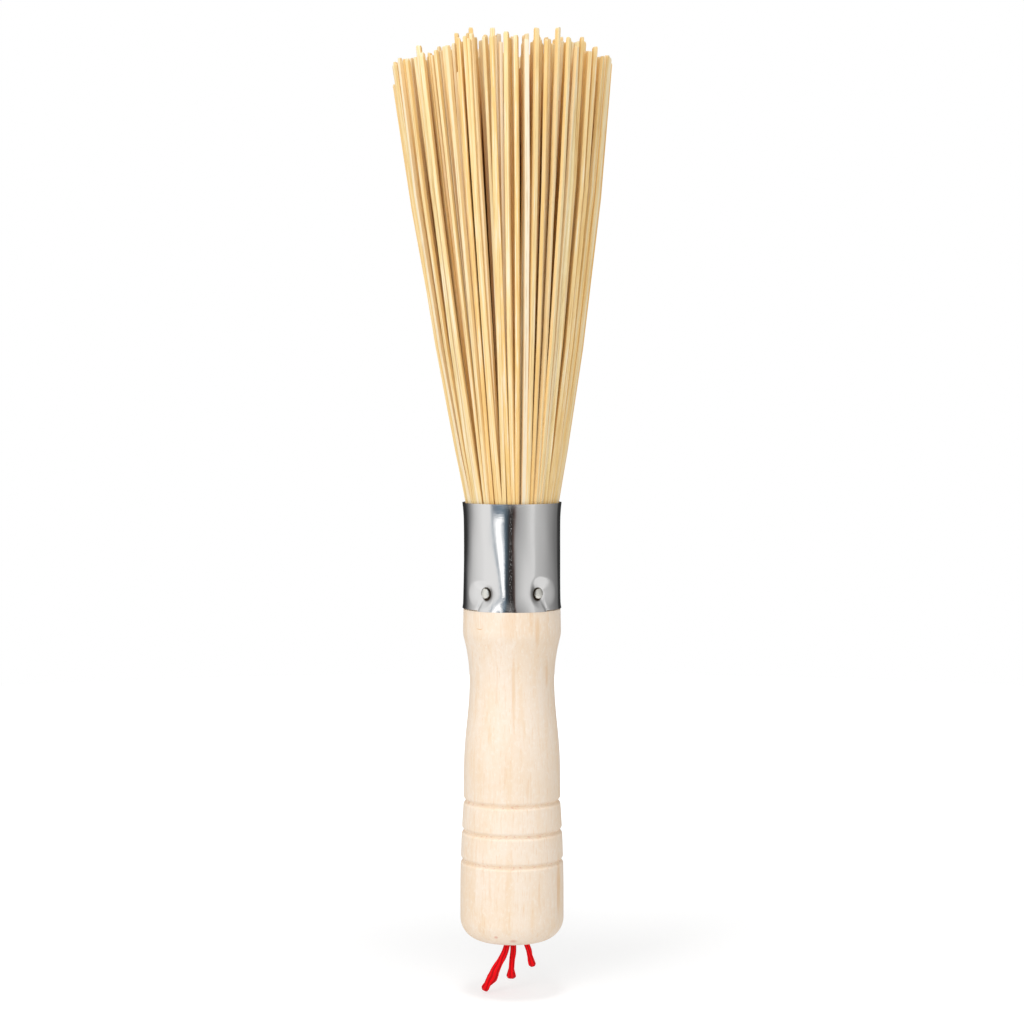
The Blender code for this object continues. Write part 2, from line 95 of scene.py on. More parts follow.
def linear(red, green, blue):
    """A colour as a screen shows it, 0 to 255, turned into scene values."""
    shares = np.array((red, green, blue)) / 255
    return tuple(np.where(shares <= 0.04045, shares / 12.92, ((shares + 0.055) / 1.055) ** 2.4))


def length(name, description, default):
    """A property for a size in metres."""
    return FloatProperty(
        name=name, description=description, default=default, min=0, precision=5, unit="LENGTH"
    )


def colour(name, description, shown):
    """A property for a colour, given as a screen shows it."""
    return FloatVectorProperty(
        name=name, description=description, default=linear(*shown), min=0, max=1, subtype="COLOR"
    )


class HandleSettings(PropertyGroup):
    """Sizes of the handle, from the butt upwards, and its wood."""

    butt_radius: length("Butt radius", "Radius at the widest place, above the rounded butt", 0.0164)
    butt_rounding: length("Butt rounding", "Radius of the rounded edge of the butt", 0.0070)
    butt_length: length("Butt length", "From the flat of the butt up to the widest place", 0.0140)
    grooved_length: length("Grooved length", "From the widest place up to the top groove", 0.0305)
    belly_radius: length("Belly radius", "Radius of the grip above the top groove", 0.0153)
    belly_length: length("Belly length", "Straight stretch above the top groove", 0.0070)
    swell_length: length("Swell length", "From the belly to the waist", 0.0310)
    waist_radius: length("Waist radius", "Radius of the narrowest place", 0.0134)
    cove_length: length("Cove length", "From the waist up to the shoulder", 0.0147)
    shoulder_radius: length("Shoulder radius", "Radius where the cove meets the neck", 0.01550)
    neck_radius: length("Neck radius", "Radius just under the ferrule", 0.01533)
    seat_height: length("Seat height", "From the butt up to the seat of the ferrule", 0.1053)
    corner_softness: length("Corner softness", "Stretch over which turned corners are rounded", 0.0022)
    groove_pitch: length("Groove pitch", "Between neighbouring grooves", 0.00945)
    groove_width: length("Groove width", "Across each groove", 0.0020)
    groove_depth: length("Groove depth", "Depth of each groove", 0.00074)
    collar_radius: length("Collar radius", "Radius of the spigot's foot, just inside the rim", 0.01475)
    collar_length: length("Collar length", "Height over which the foot tapers to the spigot", 0.0030)
    spigot_radius: length("Spigot radius", "Radius of the spigot inside the ferrule", 0.01300)
    bore_radius: length("Bore radius", "Radius of the blind bore for the cord", 0.0050)
    bore_depth: length("Bore depth", "Depth of the blind bore at its wall", 0.0310)
    countersink: length("Countersink", "Chamfer round the mouth of the bore", 0.0004)
    spigot_chamfer: length("Spigot chamfer", "Chamfer round the top of the spigot", 0.0015)
    groove_count: IntProperty(name="Grooves", description="Number of turned grooves", default=3, min=0)
    pale: colour("Pale wood", "Ground colour of the wood", (247, 230, 211))
    light: colour("Light wood", "Small paler flecks in the wood", (252, 240, 226))
    # This colour also serves as painted shade in the grooves
    warm_and_groove_shade: colour("Warm streaks", "Broad streaks along the grain", (240, 208, 167))
    dash: colour("Fibre dashes", "Fine dashes along the grain", (230, 182, 120))
    blemish: colour("Blemishes", "Small reddish marks", (224, 162, 138))


class FerruleSettings(PropertyGroup):
    """Sizes of the rolled sheet and its finish."""

    waist_radius: length("Waist radius", "Outer radius where the sleeve is narrowest", 0.01523)
    waist_height: length("Waist height", "From the lower rim up to the narrowest place", 0.0240)
    rim_swell: length("Rim swell", "How much wider the lower rim is", 0.0003)
    mouth_swell: length("Mouth swell", "How much wider the mouth is", 0.00014)
    rim_flare: length("Rim flare", "How far the lower edge turns out", 0.00020)
    rim_flare_length: length("Rim flare length", "Stretch over which the lower edge turns out", 0.0022)
    mouth_flare: length("Mouth flare", "How far the mouth turns out", 0.00030)
    mouth_flare_length: length("Mouth flare length", "Stretch over which the mouth turns out", 0.0062)
    sheet: length("Sheet", "Thickness of the tinplate", 0.0004)
    lap: length("Lap", "Overlap at the back", 0.0060)
    lap_ramp: length("Lap ramp", "Stretch over which the outer end rides up", 0.0050)
    ridge_height: length("Ridge height", "How far the sheet bulges midway between the front nails", 0.00022)
    ridge_offset: length("Ridge offset", "How far to the left of the front the ridge stands", 0.0005)
    ridge_flat: length("Ridge flat", "Half the width of the ridge's unchanged middle", 0.0015)
    ridge_softness: length("Ridge softness", "Stretch over which the ridge's borders are rounded", 0.0006)
    valley_depth: length("Valley depth", "How far the sheet sinks towards a front nail", 0.00080)
    valley_reach: length("Valley reach", "From the ridge to the foot of its slope", 0.0067)
    tuck_depth: length("Tuck depth", "How far the ridge turns in at the rim", 0.00045)
    tuck_width: length("Tuck width", "Reach of the tuck round the sleeve", 0.0045)
    tuck_rise: length("Tuck rise", "How far above the rim the tuck reaches", 0.0070)
    pinch_depth: length("Pinch depth", "How far the sleeve is drawn in towards the other nails", 0.00030)
    pinch_width: length("Pinch width", "Reach of that pinch round the sleeve", 0.0050)
    pinch_rise: length("Pinch rise", "How far above the rim the drawn-in sheet reaches", 0.0315)
    dent_depth: length("Dent depth", "Depth of the funnel under a nail head", 0.00112)
    dent_flat: length("Dent flat", "Radius of the funnel's flat bottom, where its reach starts", 0.0014)
    dent_width: length("Dent width", "Reach of the funnel away from the front", 0.0055)
    dent_inner: length("Dent inner width", "Reach of the funnel towards the front", 0.0020)
    dent_rise: length("Dent rise", "Reach of the funnel upwards", 0.0042)
    dent_fall: length("Dent fall", "Reach of the funnel downwards", 0.0030)
    crease_depth: length("Crease depth", "Depth of the creases at the lower rim", 0.00022)
    crease_offset: length("Crease offset", "From a nail to its crease, round the sleeve", 0.0024)
    crease_width: length("Crease width", "Width of a crease", 0.0006)
    crease_rise: length("Crease rise", "Height of a crease above the rim", 0.0050)
    mouth_dip: length("Mouth dip", "How far the mouth's edge lies below the solid's", 0.0005)
    rim_drop: length("Rim drop", "How much lower the rim lies between the creases", 0.0004)
    # Each nail has a ring round its head that is partly dirt and partly painted contact shadow
    grime_and_shadow_shift: length("Grime shift", "How far the grime lies towards the front from its nail", 0.0005)
    # Reach of the painted shade on the flank beside each nail
    flank_shade_reach: length("Soil reach", "Reach of the soiled flank beside each nail", 0.0032)
    metal: colour("Tinplate", "Colour of the bright metal", (230, 229, 228))
    stain: colour("Stain", "Faint brown stain in the metal", (188, 170, 158))
    # Colour of the ring round each nail: dirt and painted contact shadow
    grime_and_shadow: colour("Grime", "Dark ring round each nail", (74, 60, 48))
    # Painted shade on the flank beside each nail
    painted_flank_shade: colour("Soil", "Dull metal of the flank beside each nail", (120, 116, 112))


class NailSettings(PropertyGroup):
    """Sizes of the nails and their finish."""

    count: IntProperty(name="Nails", description="Nails round the ferrule", default=5, min=1)
    height: length("Height", "From the lower rim of the ferrule up to the nails", 0.0053)
    shank_length: length("Shank length", "From the underside of the head to the point", 0.0100)
    point_length: length("Point length", "Length of the taper at the point", 0.0020)
    shank_radius: length("Shank radius", "Radius of the shank", 0.00072)
    head_radius: length("Head radius", "Radius of the head", 0.0017)
    head_rise: length("Head rise", "Height of the domed head", 0.0008)
    head_edge: length("Head edge", "Thickness of the head at its edge", 0.00018)
    seat_gap: length("Seat gap", "From the sheet to the underside of the head", 0.0001)
    metal: colour("Steel", "Colour of the heads", (242, 240, 232))
    tarnish: colour("Tarnish", "Brown tarnish round the heads", (104, 84, 56))


class BambooSettings(PropertyGroup):
    """Sizes of the slivers and their colours."""

    rings: IntProperty(name="Rings", description="Rings of slivers round the middle one", default=11)
    bundle_radius: length("Bundle radius", "Radius of the packed roots", 0.01445)
    width: length("Width", "Width of a sliver", 0.00132)
    thickness: length("Thickness", "Thickness of a sliver", 0.00118)
    outer_width: FloatProperty(
        name="Outer width", description="Width of the outermost slivers beside the others'", default=1.1
    )
    trim_height: length("Trim height", "From the butt to the trimmed tips", 0.2800)
    trim_spread: length("Trim spread", "How much the tips differ in height", 0.0012)
    bow: length("Bow", "How far the outer slivers bow outwards", 0.0015)
    stray: length("Stray", "How far a tip strays from its even place", 0.0020)
    cream: colour("Cream", "Palest slivers", (255, 242, 213))
    gold: colour("Gold", "Usual slivers", (255, 230, 173))
    amber: colour("Amber", "Darkest slivers", (250, 211, 138))
    olive: colour("Olive", "Slivers with a greenish skin", (232, 210, 148))
    # This colour also serves as painted shade just above the mouth
    fibre_and_mouth_shade: colour("Fibre", "Dark fibres along a sliver", (214, 162, 86))
    # The split sides are partly their own more golden tone and partly painted shade between neighbouring
    # slivers
    split: colour("Split", "Faces along which a sliver was split off", (236, 188, 106))
    # Painted shade: the colours towards which slivers lying deeper in the bundle are darkened
    painted_shade: colour("Shaded", "Darker bamboo inside the bundle", (230, 150, 56))
    deep: colour("Deep", "Bamboo deep inside the bundle", (122, 54, 10))


class BindingSettings(PropertyGroup):
    """Thickness of the binding wire and its colours."""

    radius: length("Radius", "Half the thickness of the wire", 0.0005)
    bright: colour("Bright steel", "Colour where the wire is rubbed", (120, 118, 116))
    dark: colour("Dark steel", "Colour where the wire is annealed dark", (78, 72, 66))


class CordSettings(PropertyGroup):
    """Sizes of the cord tails and their colour."""

    diameter: length("Diameter", "Diameter of the cord", 0.0017)
    ridge: length("Ridge", "Height of the strands' ridges", 0.00012)
    red: colour("Red", "Colour of the braid", (250, 3, 18))
    # Between the strands this deeper red is painted shade; at the melted ends and in the lint it is the
    # cord's own colour
    deep_red_and_shade: colour("Deep red", "Colour between the strands and at the melted ends", (190, 2, 12))


class StageSettings(PropertyGroup):
    """The camera and the floor."""

    camera_distance: length("Camera distance", "From the brush's axis to the camera", 0.762)
    camera_height: length("Camera height", "From the butt up to the camera", 0.1755)
    lens: FloatProperty(name="Lens", description="Focal length in millimetres", default=85)
    pitch: FloatProperty(
        name="Pitch",
        description="How far the camera looks down",
        default=math.radians(2.98),
        unit="ROTATION",
    )
    floor_clearance: length("Floor clearance", "From the floor to the lowest cord tip", 0.0004)
    floor_radius: length("Floor radius", "Radius of the floor", 0.85)


class WokBrushSettings(PropertyGroup):
    """All the sizes and colours of the brush."""

    handle: PointerProperty(type=HandleSettings)
    ferrule: PointerProperty(type=FerruleSettings)
    nails: PointerProperty(type=NailSettings)
    bamboo: PointerProperty(type=BambooSettings)
    binding: PointerProperty(type=BindingSettings)
    cord: PointerProperty(type=CordSettings)
    stage: PointerProperty(type=StageSettings)


# Shader maths


class Signal:
    """A value, vector or colour that runs through a material, with arithmetic on it."""

    def __init__(self, finish, socket):
        self.finish = finish
        self.socket = socket

    def is_vector(self):
        return self.socket.type in ("VECTOR", "RGBA")

    def combine(self, operation, first, second=None):
        wired = [x for x in (first, second) if isinstance(x, Signal)]
        kind = "ShaderNodeVectorMath" if any(x.is_vector() for x in wired) else "ShaderNodeMath"
        inputs = {0: first}
        if second is not None:
            inputs[1] = second
        return self.finish.node(kind, {"operation": operation}, inputs)

    def __add__(self, other):
        return self.combine("ADD", self, other)

    def __radd__(self, other):
        return self.combine("ADD", other, self)

    def __sub__(self, other):
        return self.combine("SUBTRACT", self, other)

    def __rsub__(self, other):
        return self.combine("SUBTRACT", other, self)

    def __mul__(self, other):
        return self.combine("MULTIPLY", self, other)

    def __rmul__(self, other):
        return self.combine("MULTIPLY", other, self)

    def __truediv__(self, other):
        return self.combine("DIVIDE", self, other)

    def __rtruediv__(self, other):
        return self.combine("DIVIDE", other, self)

    def __abs__(self):
        return self.combine("ABSOLUTE", self)


class Finish:
    """A material or world being built, with one method that adds any node."""

    def __init__(self, owner):
        self.owner = owner
        owner.use_nodes = True
        self.tree = owner.node_tree

    def node(self, kind, settings=None, inputs=None, output=0):
        """Adds a node, sets it up, feeds its sockets and returns one of its outputs."""
        made = self.tree.nodes.new(kind)
        for key, value in (settings or {}).items():
            if key == "stops":
                self.set_stops(made.color_ramp, value)
            else:
                setattr(made, key, value)
        for key, value in (inputs or {}).items():
            self.feed(made.inputs[key], value)
        return Signal(self, made.outputs[output])

    def set_stops(self, ramp, stops):
        while len(ramp.elements) < len(stops):
            ramp.elements.new(1)
        for element, (place, shade) in zip(ramp.elements, stops):
            element.position = place
            element.color = (*shade, 1)

    def feed(self, socket, value):
        if isinstance(value, Signal):
            self.tree.links.new(value.socket, socket)
        elif socket.type == "RGBA":
            socket.default_value = (*value, 1)
        elif socket.type == "VECTOR" and isinstance(value, (int, float)):
            socket.default_value = (value, value, value)
        else:
            socket.default_value = value

    def place(self):
        return self.node("ShaderNodeTexCoord", output="Object")

    def unrolled(self):
        return self.node("ShaderNodeUVMap", {"uv_map": "unrolled"})

    def axis(self, where, name):
        """One of a vector's three numbers, by its name X, Y or Z."""
        return self.node("ShaderNodeSeparateXYZ", None, {0: where}, output=name)

    def mark(self, name):
        """A number that the piece's mesh carries at each point."""
        return self.node("ShaderNodeAttribute", {"attribute_name": name}, output="Fac")

    def noise(self, where, detail=2, roughness=0.5, distortion=0):
        inputs = {"Vector": where, "Scale": 1, "Detail": detail, "Roughness": roughness}
        inputs["Distortion"] = distortion
        return self.node("ShaderNodeTexNoise", None, inputs)

    def ease(self, value, low, high):
        """0 below low and 1 above high, with a smooth step between them."""
        inputs = {"Value": value, "From Min": low, "From Max": high}
        return self.node("ShaderNodeMapRange", {"interpolation_type": "SMOOTHSTEP"}, inputs)

    def mix(self, share, first, second):
        inputs = {0: share, 6: first, 7: second}
        return self.node("ShaderNodeMix", {"data_type": "RGBA"}, inputs, output=2)

    def away(self, offset):
        """The length of a vector."""
        return self.node("ShaderNodeVectorMath", {"operation": "LENGTH"}, {0: offset}, output="Value")

    def spot(self, place, centre, radii):
        """1 at the centre of a soft ellipsoid and 0 outside it."""
        return 1 - self.ease(self.away((place - centre) / radii), 0.25, 1)

    def bump(self, height, strength, distance):
        inputs = {"Height": height, "Strength": strength, "Distance": distance}
        return self.node("ShaderNodeBump", None, inputs)

    def directly_seen(self):
        """1 for rays from the camera, a mirror or glass, and 0 for the light that falls on things."""
        kinds = ("Is Camera Ray", "Is Glossy Ray", "Is Transmission Ray")
        camera, glossy, through = (self.node("ShaderNodeLightPath", output=kind) for kind in kinds)
        return self.ease(camera + glossy + through, 0, 1)

    def surface(self, **sockets):
        """Feeds the Principled shader; a name's underscores stand for spaces."""
        shader = self.tree.nodes["Principled BSDF"]
        for name, value in sockets.items():
            self.feed(shader.inputs[name.replace("_", " ")], value)
        return self.owner

    def show(self, shader):
        """Puts a shader of its own on the material's output."""
        self.feed(self.tree.nodes["Material Output"].inputs["Surface"], shader)
        return self.owner


def new_finish(name):
    return Finish(bpy.data.materials.new(name))


# Meshes

# Points of a curve between neighbouring knots, before it is spaced evenly
CURVE_STEPS = 24
# A direction that no cord runs along
OFF_CORD = (0.3, 1.0, 0.1)


def smoothstep(low, high, x):
    """0 below low, 1 above high and 3t^2 - 2t^3 between them."""
    t = np.clip((x - low) / (high - low), 0, 1)
    return t * t * (3 - 2 * t)


def bell(x):
    """A bell curve that is 1 at 0: the exponential of minus x squared."""
    return np.exp(-(x**2))


def smooth_curve(knots, count):
    """Points along a Catmull-Rom curve through the knots, evenly spaced by length."""
    knots = np.asarray(knots, dtype=float)
    ends = (2 * knots[:1] - knots[1:2], knots, 2 * knots[-1:] - knots[-2:-1])
    padded = np.concatenate(ends)
    t = np.linspace(0, 1, CURVE_STEPS, endpoint=False)[None, :, None]
    a, b, c, d = (padded[i : len(padded) - 3 + i, None, :] for i in range(4))
    curve = 2 * b + (c - a) * t + (2 * a - 5 * b + 4 * c - d) * t**2 + (3 * b - a - 3 * c + d) * t**3
    fine = np.concatenate([curve.reshape(-1, knots.shape[1]) / 2, knots[-1:]])
    steps = np.linalg.norm(np.diff(fine, axis=0), axis=1)
    along = np.concatenate([[0], np.cumsum(steps)])
    wanted = np.linspace(0, along[-1], count)
    return np.stack([np.interp(wanted, along, fine[:, k]) for k in range(fine.shape[1])], axis=1)


def around(angle, radius):
    """Points of a turned surface: angle 0 is the front and grows towards +X."""
    return radius * np.sin(angle), -radius * np.cos(angle)


def ring_faces(rings, sides, first=0):
    """Quads between neighbouring rings of points, each ring closed on itself."""
    low = first + np.arange(rings - 1)[:, None] * sides
    here = np.arange(sides)
    there = (here + 1) % sides
    quads = (low + here, low + there, low + sides + there, low + sides + here)
    return np.stack(quads, axis=-1).reshape(-1, 4)


def fan_faces(pole, ring, upward):
    """Triangles from a pole to a ring of points, facing up or down the piece."""
    after = np.roll(ring, -1)
    order = (ring, after) if upward else (after, ring)
    return np.stack([np.full_like(ring, pole), *order], axis=-1)


def closed_tube(rings):
    """Points and faces of a tube through rings[i, side], with each end closed by a fan."""
    count, sides = rings.shape[:2]
    low, high = rings[0].mean(axis=0), rings[-1].mean(axis=0)
    points = np.concatenate([rings.reshape(-1, 3), [low, high]])
    start = np.arange(sides)
    faces = ring_faces(count, sides).tolist()
    faces += fan_faces(count * sides, start, False).tolist()
    faces += fan_faces(count * sides + 1, start + (count - 1) * sides, True).tolist()
    return points, faces


def turned_rings(outline, sides):
    """Rings of a profile of (radius, height) pairs turned about the axis."""
    angle = np.arange(sides) * 2 * math.pi / sides
    x, y = around(angle[None, :], outline[:, :1])
    height = np.broadcast_to(outline[:, 1:2], x.shape)
    return np.stack([x, y, height], axis=-1)


def swept_frames(path):
    """Two directions square to a path at each of its points, the first also square to OFF_CORD."""
    tangent = np.gradient(path, axis=0)
    tangent /= np.linalg.norm(tangent, axis=1)[:, None]
    side = np.cross(tangent, OFF_CORD)
    side /= np.linalg.norm(side, axis=1)[:, None]
    return side, np.cross(tangent, side)


def add_piece(name, points, faces, material, replaced, unrolled=None, marks=None, sharp=40):
    """A mesh that rides on the brush, stands for some CAD nodes and carries its unrolled map and marks."""
    mesh = bpy.data.meshes.new(name)
    mesh.from_pydata(np.asarray(points).reshape(-1, 3).tolist(), [], faces)
    mesh.shade_smooth()
    mesh.set_sharp_from_angle(angle=math.radians(sharp))
    if unrolled is not None:
        corners = np.empty(len(mesh.loops), dtype=np.int32)
        mesh.loops.foreach_get("vertex_index", corners)
        layer = mesh.uv_layers.new(name="unrolled")
        layer.data.foreach_set("uv", unrolled(corners).astype(np.float32).ravel())
    for key, values in (marks or {}).items():
        attribute = mesh.attributes.new(key, "FLOAT", "POINT")
        attribute.data.foreach_set("value", np.asarray(values, dtype=np.float32).ravel())
    mesh.materials.append(material)
    piece = bpy.data.objects.new(name, mesh)
    bpy.context.scene.collection.objects.link(piece)
    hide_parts(*replaced)
    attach(piece, BODY)
    return piece


# Handle

HANDLE_SIDES = 180
HANDLE_STEP = 0.0008
GROOVE_STEP = 0.00012
# Steps round the butt's edge, and places that are averaged to soften a corner
EDGE_STEPS = 20
CORNER_PLACES = 9
# Power that leans the half cosine between the belly and the waist
WAIST_LEAN = 1.15
# Where a groove's flank is eased, from its foot to its shoulder, in half widths of the groove
GROOVE_EASE = (-0.35, 1.25)
DRILL_HALF_ANGLE = math.radians(59)
# Radius of the small ring that closes each end of the section
POLE_RADIUS = 0.0004
# How wide the seat's flat is inside its edge, and how far its inner edge rises to the collar
SEAT_FLAT = 0.0004
SEAT_RISE = 0.0002


def groove_heights(s):
    """Heights above the butt of the grooves, the top one first."""
    return s.butt_length + s.grooved_length - s.groove_pitch * np.arange(s.groove_count)


def grip_radius(s, height):
    """The handle's outer radius at heights above the butt, without its grooves.

    A parabola from the butt to the belly, a straight belly, a leaning half cosine down to the waist,
    a parabola out to the shoulder and a straight neck. The butt's edge is a quarter circle.
    """
    top_groove = s.butt_length + s.grooved_length
    belly_end = top_groove + s.belly_length
    waist = belly_end + s.swell_length
    shoulder = waist + s.cove_length
    taper = np.clip((height - s.butt_length) / s.grooved_length, 0, 1)
    swell = np.clip((height - belly_end) / s.swell_length, 0, 1) ** WAIST_LEAN
    cove = np.clip((height - waist) / s.cove_length, 0, 1)
    neck = np.clip((height - shoulder) / (s.seat_height - shoulder), 0, 1)
    radius = s.butt_radius + (s.belly_radius - s.butt_radius) * taper**2
    radius = radius + (s.waist_radius - s.belly_radius) * (1 - np.cos(math.pi * swell)) / 2
    radius = radius + (s.shoulder_radius - s.waist_radius) * cove**2
    return radius + (s.neck_radius - s.shoulder_radius) * neck


def grip_outline(s):
    """The outer side from the butt to the ferrule's seat, as (radius, height) pairs, and its grooves.

    Corners are softened by a moving average, and each groove is a V whose shoulders are eased off.
    """
    heights = np.arange(s.butt_rounding, s.seat_height, HANDLE_STEP)
    near = np.arange(-s.groove_width, s.groove_width, GROOVE_STEP)
    heights = np.unique(np.concatenate([heights, *(groove_heights(s)[:, None] + near), [s.seat_height]]))
    window = np.linspace(-0.5, 0.5, CORNER_PLACES) * s.corner_softness
    radius = grip_radius(s, heights[:, None] + window).mean(axis=1)
    away = np.abs(heights[:, None] - groove_heights(s)).min(axis=1) / (s.groove_width / 2)
    cut = (1 - smoothstep(*GROOVE_EASE, away)) / (1 - smoothstep(*GROOVE_EASE, 0.0))
    radius = radius - s.groove_depth * cut
    turn = np.linspace(0, math.pi / 2, EDGE_STEPS, endpoint=False)[::-1]
    edge_radius = s.butt_radius - s.butt_rounding * (1 - np.cos(turn))
    edge_height = s.butt_rounding * (1 - np.sin(turn))
    outline = np.stack([radius, heights], axis=1)
    edge = np.stack([edge_radius, edge_height], axis=1)
    grooves = np.concatenate([np.zeros(len(edge)), cut])
    return np.concatenate([edge, outline]), grooves


def handle_outline(s):
    """The whole section: bore, butt ring, grip and spigot, in the order that turns it right side out."""
    grip, cut = grip_outline(s)
    cone = (s.bore_radius - POLE_RADIUS) / math.tan(DRILL_HALF_ANGLE)
    spigot_top = SPIGOT_TOP - BUTT
    before = [
        (POLE_RADIUS, s.bore_depth + cone),
        (s.bore_radius, s.bore_depth),
        (s.bore_radius, s.bore_depth / 2),
        (s.bore_radius, s.countersink),
        (s.bore_radius + s.countersink, 0),
        ((s.bore_radius + grip[0, 0]) / 2, 0),
    ]
    after = [
        (s.neck_radius - SEAT_FLAT, s.seat_height),
        (s.collar_radius, s.seat_height + SEAT_RISE),
        (s.spigot_radius, s.seat_height + s.collar_length),
        (s.spigot_radius, spigot_top - s.spigot_chamfer),
        (s.spigot_radius - s.spigot_chamfer, spigot_top),
        (s.spigot_radius / 2, spigot_top),
        (POLE_RADIUS, spigot_top),
    ]
    outline = np.concatenate([before, grip, after])
    cuts = np.concatenate([np.zeros(len(before)), cut, np.zeros(len(after))])
    outline[:, 1] += BUTT
    return outline, cuts


# Centre, radii and strength of each streak along the grain and of each small mark
STREAKS = (
    ((0.0061, -0.0142, 0.0200), (0.0009, 0.0030, 0.0060), 0.5),
    ((0.0079, -0.0130, 0.0165), (0.0011, 0.0030, 0.0070), 0.65),
    ((0.0005, -0.0134, -0.0020), (0.0008, 0.0030, 0.0160), 0.7),
    ((0.0109, -0.0078, 0.0030), (0.0006, 0.0030, 0.0060), 0.7),
    ((-0.0010, -0.0155, 0.0190), (0.0030, 0.0030, 0.0080), 0.4),
    ((0.0146, -0.0074, -0.0640), (0.0009, 0.0030, 0.0120), 1.0),
    ((-0.0070, -0.0148, -0.0620), (0.0006, 0.0030, 0.0080), 0.35),
    ((0.0085, -0.0140, -0.0660), (0.0005, 0.0030, 0.0070), 0.4),
)
BLEMISHES = (
    ((-0.0050, -0.0150, -0.0790), (0.0009, 0.0030, 0.0006), 0.7),
    ((0.0004, -0.0130, -0.0802), (0.0018, 0.0040, 0.0009), 0.7),
)
# A small arc in the wood: the circle it lies on, seen from the front, the half width of its line, full
# and faded out, and the spot within which it shows
ARC_CENTRE = (-0.0101, -0.0115, 0.0190)
ARC_RADIUS = 0.0017
ARC_LINE = (0.00005, 0.0002)
ARC_SPOT = ((-0.0101, -0.0115, 0.0173), (0.0014, 0.0030, 0.0008))


def wood_finish(s):
    """Pale turned wood: broad warmer streaks, fine dashes along the grain, and painted shade and torn
    fibres in the grooves.
    """
    f = new_finish("turned_wood")
    place = f.place()
    broad = f.noise(place * (330, 330, 22), detail=3, roughness=0.55, distortion=0.4)
    streak = f.noise(place * (1150, 1150, 75), detail=3, roughness=0.6)
    fine = f.noise(place * (3600, 3600, 260), detail=2)
    cloud = f.noise(place * (90, 90, 45), detail=2)
    mottle = f.noise(place * (1050, 1050, 620), detail=3, roughness=0.6)
    shade = f.mix(f.ease(cloud, 0.35, 0.7) * 0.3, s.pale, s.warm_and_groove_shade)
    shade = f.mix(f.ease(broad, 0.50, 0.72) * 0.4, shade, s.warm_and_groove_shade)
    shade = f.mix(f.ease(streak, 0.54, 0.76) * 0.28, shade, s.dash)
    shade = f.mix(f.ease(fine, 0.56, 0.76) * 0.3, shade, s.dash)
    shade = f.mix(f.ease(mottle, 0.52, 0.72) * 0.2, shade, s.warm_and_groove_shade)
    shade = f.mix(f.ease(mottle, 0.48, 0.32) * 0.4, shade, s.light)
    for centre, radii, strength in STREAKS:
        shade = f.mix(f.spot(place, centre, radii) * (streak + 0.1) * strength, shade, s.dash)
    for centre, radii, strength in BLEMISHES:
        shade = f.mix(f.spot(place, centre, radii) * strength, shade, s.blemish)
    off_arc = abs(f.away((place - ARC_CENTRE) * (1, 0, 1)) - ARC_RADIUS)
    arc = (1 - f.ease(off_arc, *ARC_LINE)) * f.spot(place, *ARC_SPOT)
    shade = f.mix(arc * 0.9, shade, s.dash)
    groove = f.mark("groove")
    torn = f.ease(f.noise(place * (900, 900, 1400), detail=3), 0.56, 0.68)
    # Painted shade along the grooves
    shade = f.mix(groove * 0.3, shade, s.warm_and_groove_shade)
    shade = f.mix(groove * torn * 0.55, shade, s.blemish)
    height = fine * 0.5 + streak * 0.5 + torn * groove * 2
    rough = 0.52 + broad * 0.16
    return f.surface(Base_Color=shade, Roughness=rough, Normal=f.bump(height, 0.25, 0.00012))


class WOKBRUSH_OT_handle(Operator):
    """Build the turned handle with its grooves, bore and spigot"""

    bl_idname = "wokbrush.handle"
    bl_label = "Handle"

    def execute(self, context):
        s = context.scene.wok_brush.handle
        outline, cuts = handle_outline(s)
        points, faces = closed_tube(turned_rings(outline, HANDLE_SIDES))
        marks = {"groove": np.concatenate([np.repeat(cuts, HANDLE_SIDES), [0, 0]])}
        add_piece("turned_handle", points, faces, wood_finish(s), ["handle"], marks=marks)
        return {"FINISHED"}


# Ferrule

SHEET_COLUMNS = 360
SHEET_ROWS = 110
# Lift of the lap over the sheet under it, in thicknesses of the sheet
LAP_LIFT = 1.2
# The drawn-in sheet starts to fade at this share of the nails' height
FADE_SHARE = 0.6
# How much of the ridge and its slopes is left at the rim
RIM_SHARE = 0.45
# How far up each nail's funnel reaches, as a share of the set reach, in the order of the nails
FUNNEL_HEIGHTS = (1.0, 0.9, 0.62, 1.0, 0.8)
# Power of a funnel's flank: a straight cone would have 1
FUNNEL_POWER = 1.2
# How far a crease closes in on its nail on its way up, as a share of its offset at the rim
CREASE_LEAN = 0.8
# A nail up to this many times as far from the front as the nearest one stands as near as that one
SAME_PLACE = 1.01
# A length, in metres, that stands in for none where something is divided by it
NO_LENGTH = 1e-6
# Heights of the long waves and of the short ripples in the sheet
WAVE_HEIGHT = 0.000026
RIPPLE_HEIGHT = 0.000009


def nail_angles(context):
    """Evenly spaced nails, the first through the lap at the back."""
    count = context.scene.wok_brush.nails.count
    return math.pi + 2 * math.pi * np.arange(count) / count


def turn_between(angle, other):
    """The angle from other to angle, from minus half a turn to half a turn."""
    return np.remainder(angle - other + math.pi, 2 * math.pi) - math.pi


def ferrule_radius(s, up):
    """The sleeve's plain outer radius: two parabolas that meet at its waist, and lips at both edges."""
    below = np.clip(1 - up / s.waist_height, 0, 1)
    above = np.clip((up - s.waist_height) / (MOUTH - RIM - s.waist_height), 0, 1)
    radius = s.waist_radius + s.rim_swell * below**2 + s.mouth_swell * above**2
    radius = radius + s.rim_flare * np.clip(1 - up / s.rim_flare_length, 0, 1) ** 2
    return radius + s.mouth_flare * np.clip(1 - (MOUTH - RIM - up) / s.mouth_flare_length, 0, 1) ** 2


def lap_lift(s, angle):
    """The outer end of the sheet rides up over its inner end by one thickness and a hair."""
    half_lap = s.lap / 2 / s.waist_radius
    ramp = s.lap_ramp / s.waist_radius
    return (s.sheet * LAP_LIFT) * smoothstep(math.pi - half_lap - ramp, math.pi - half_lap, angle)


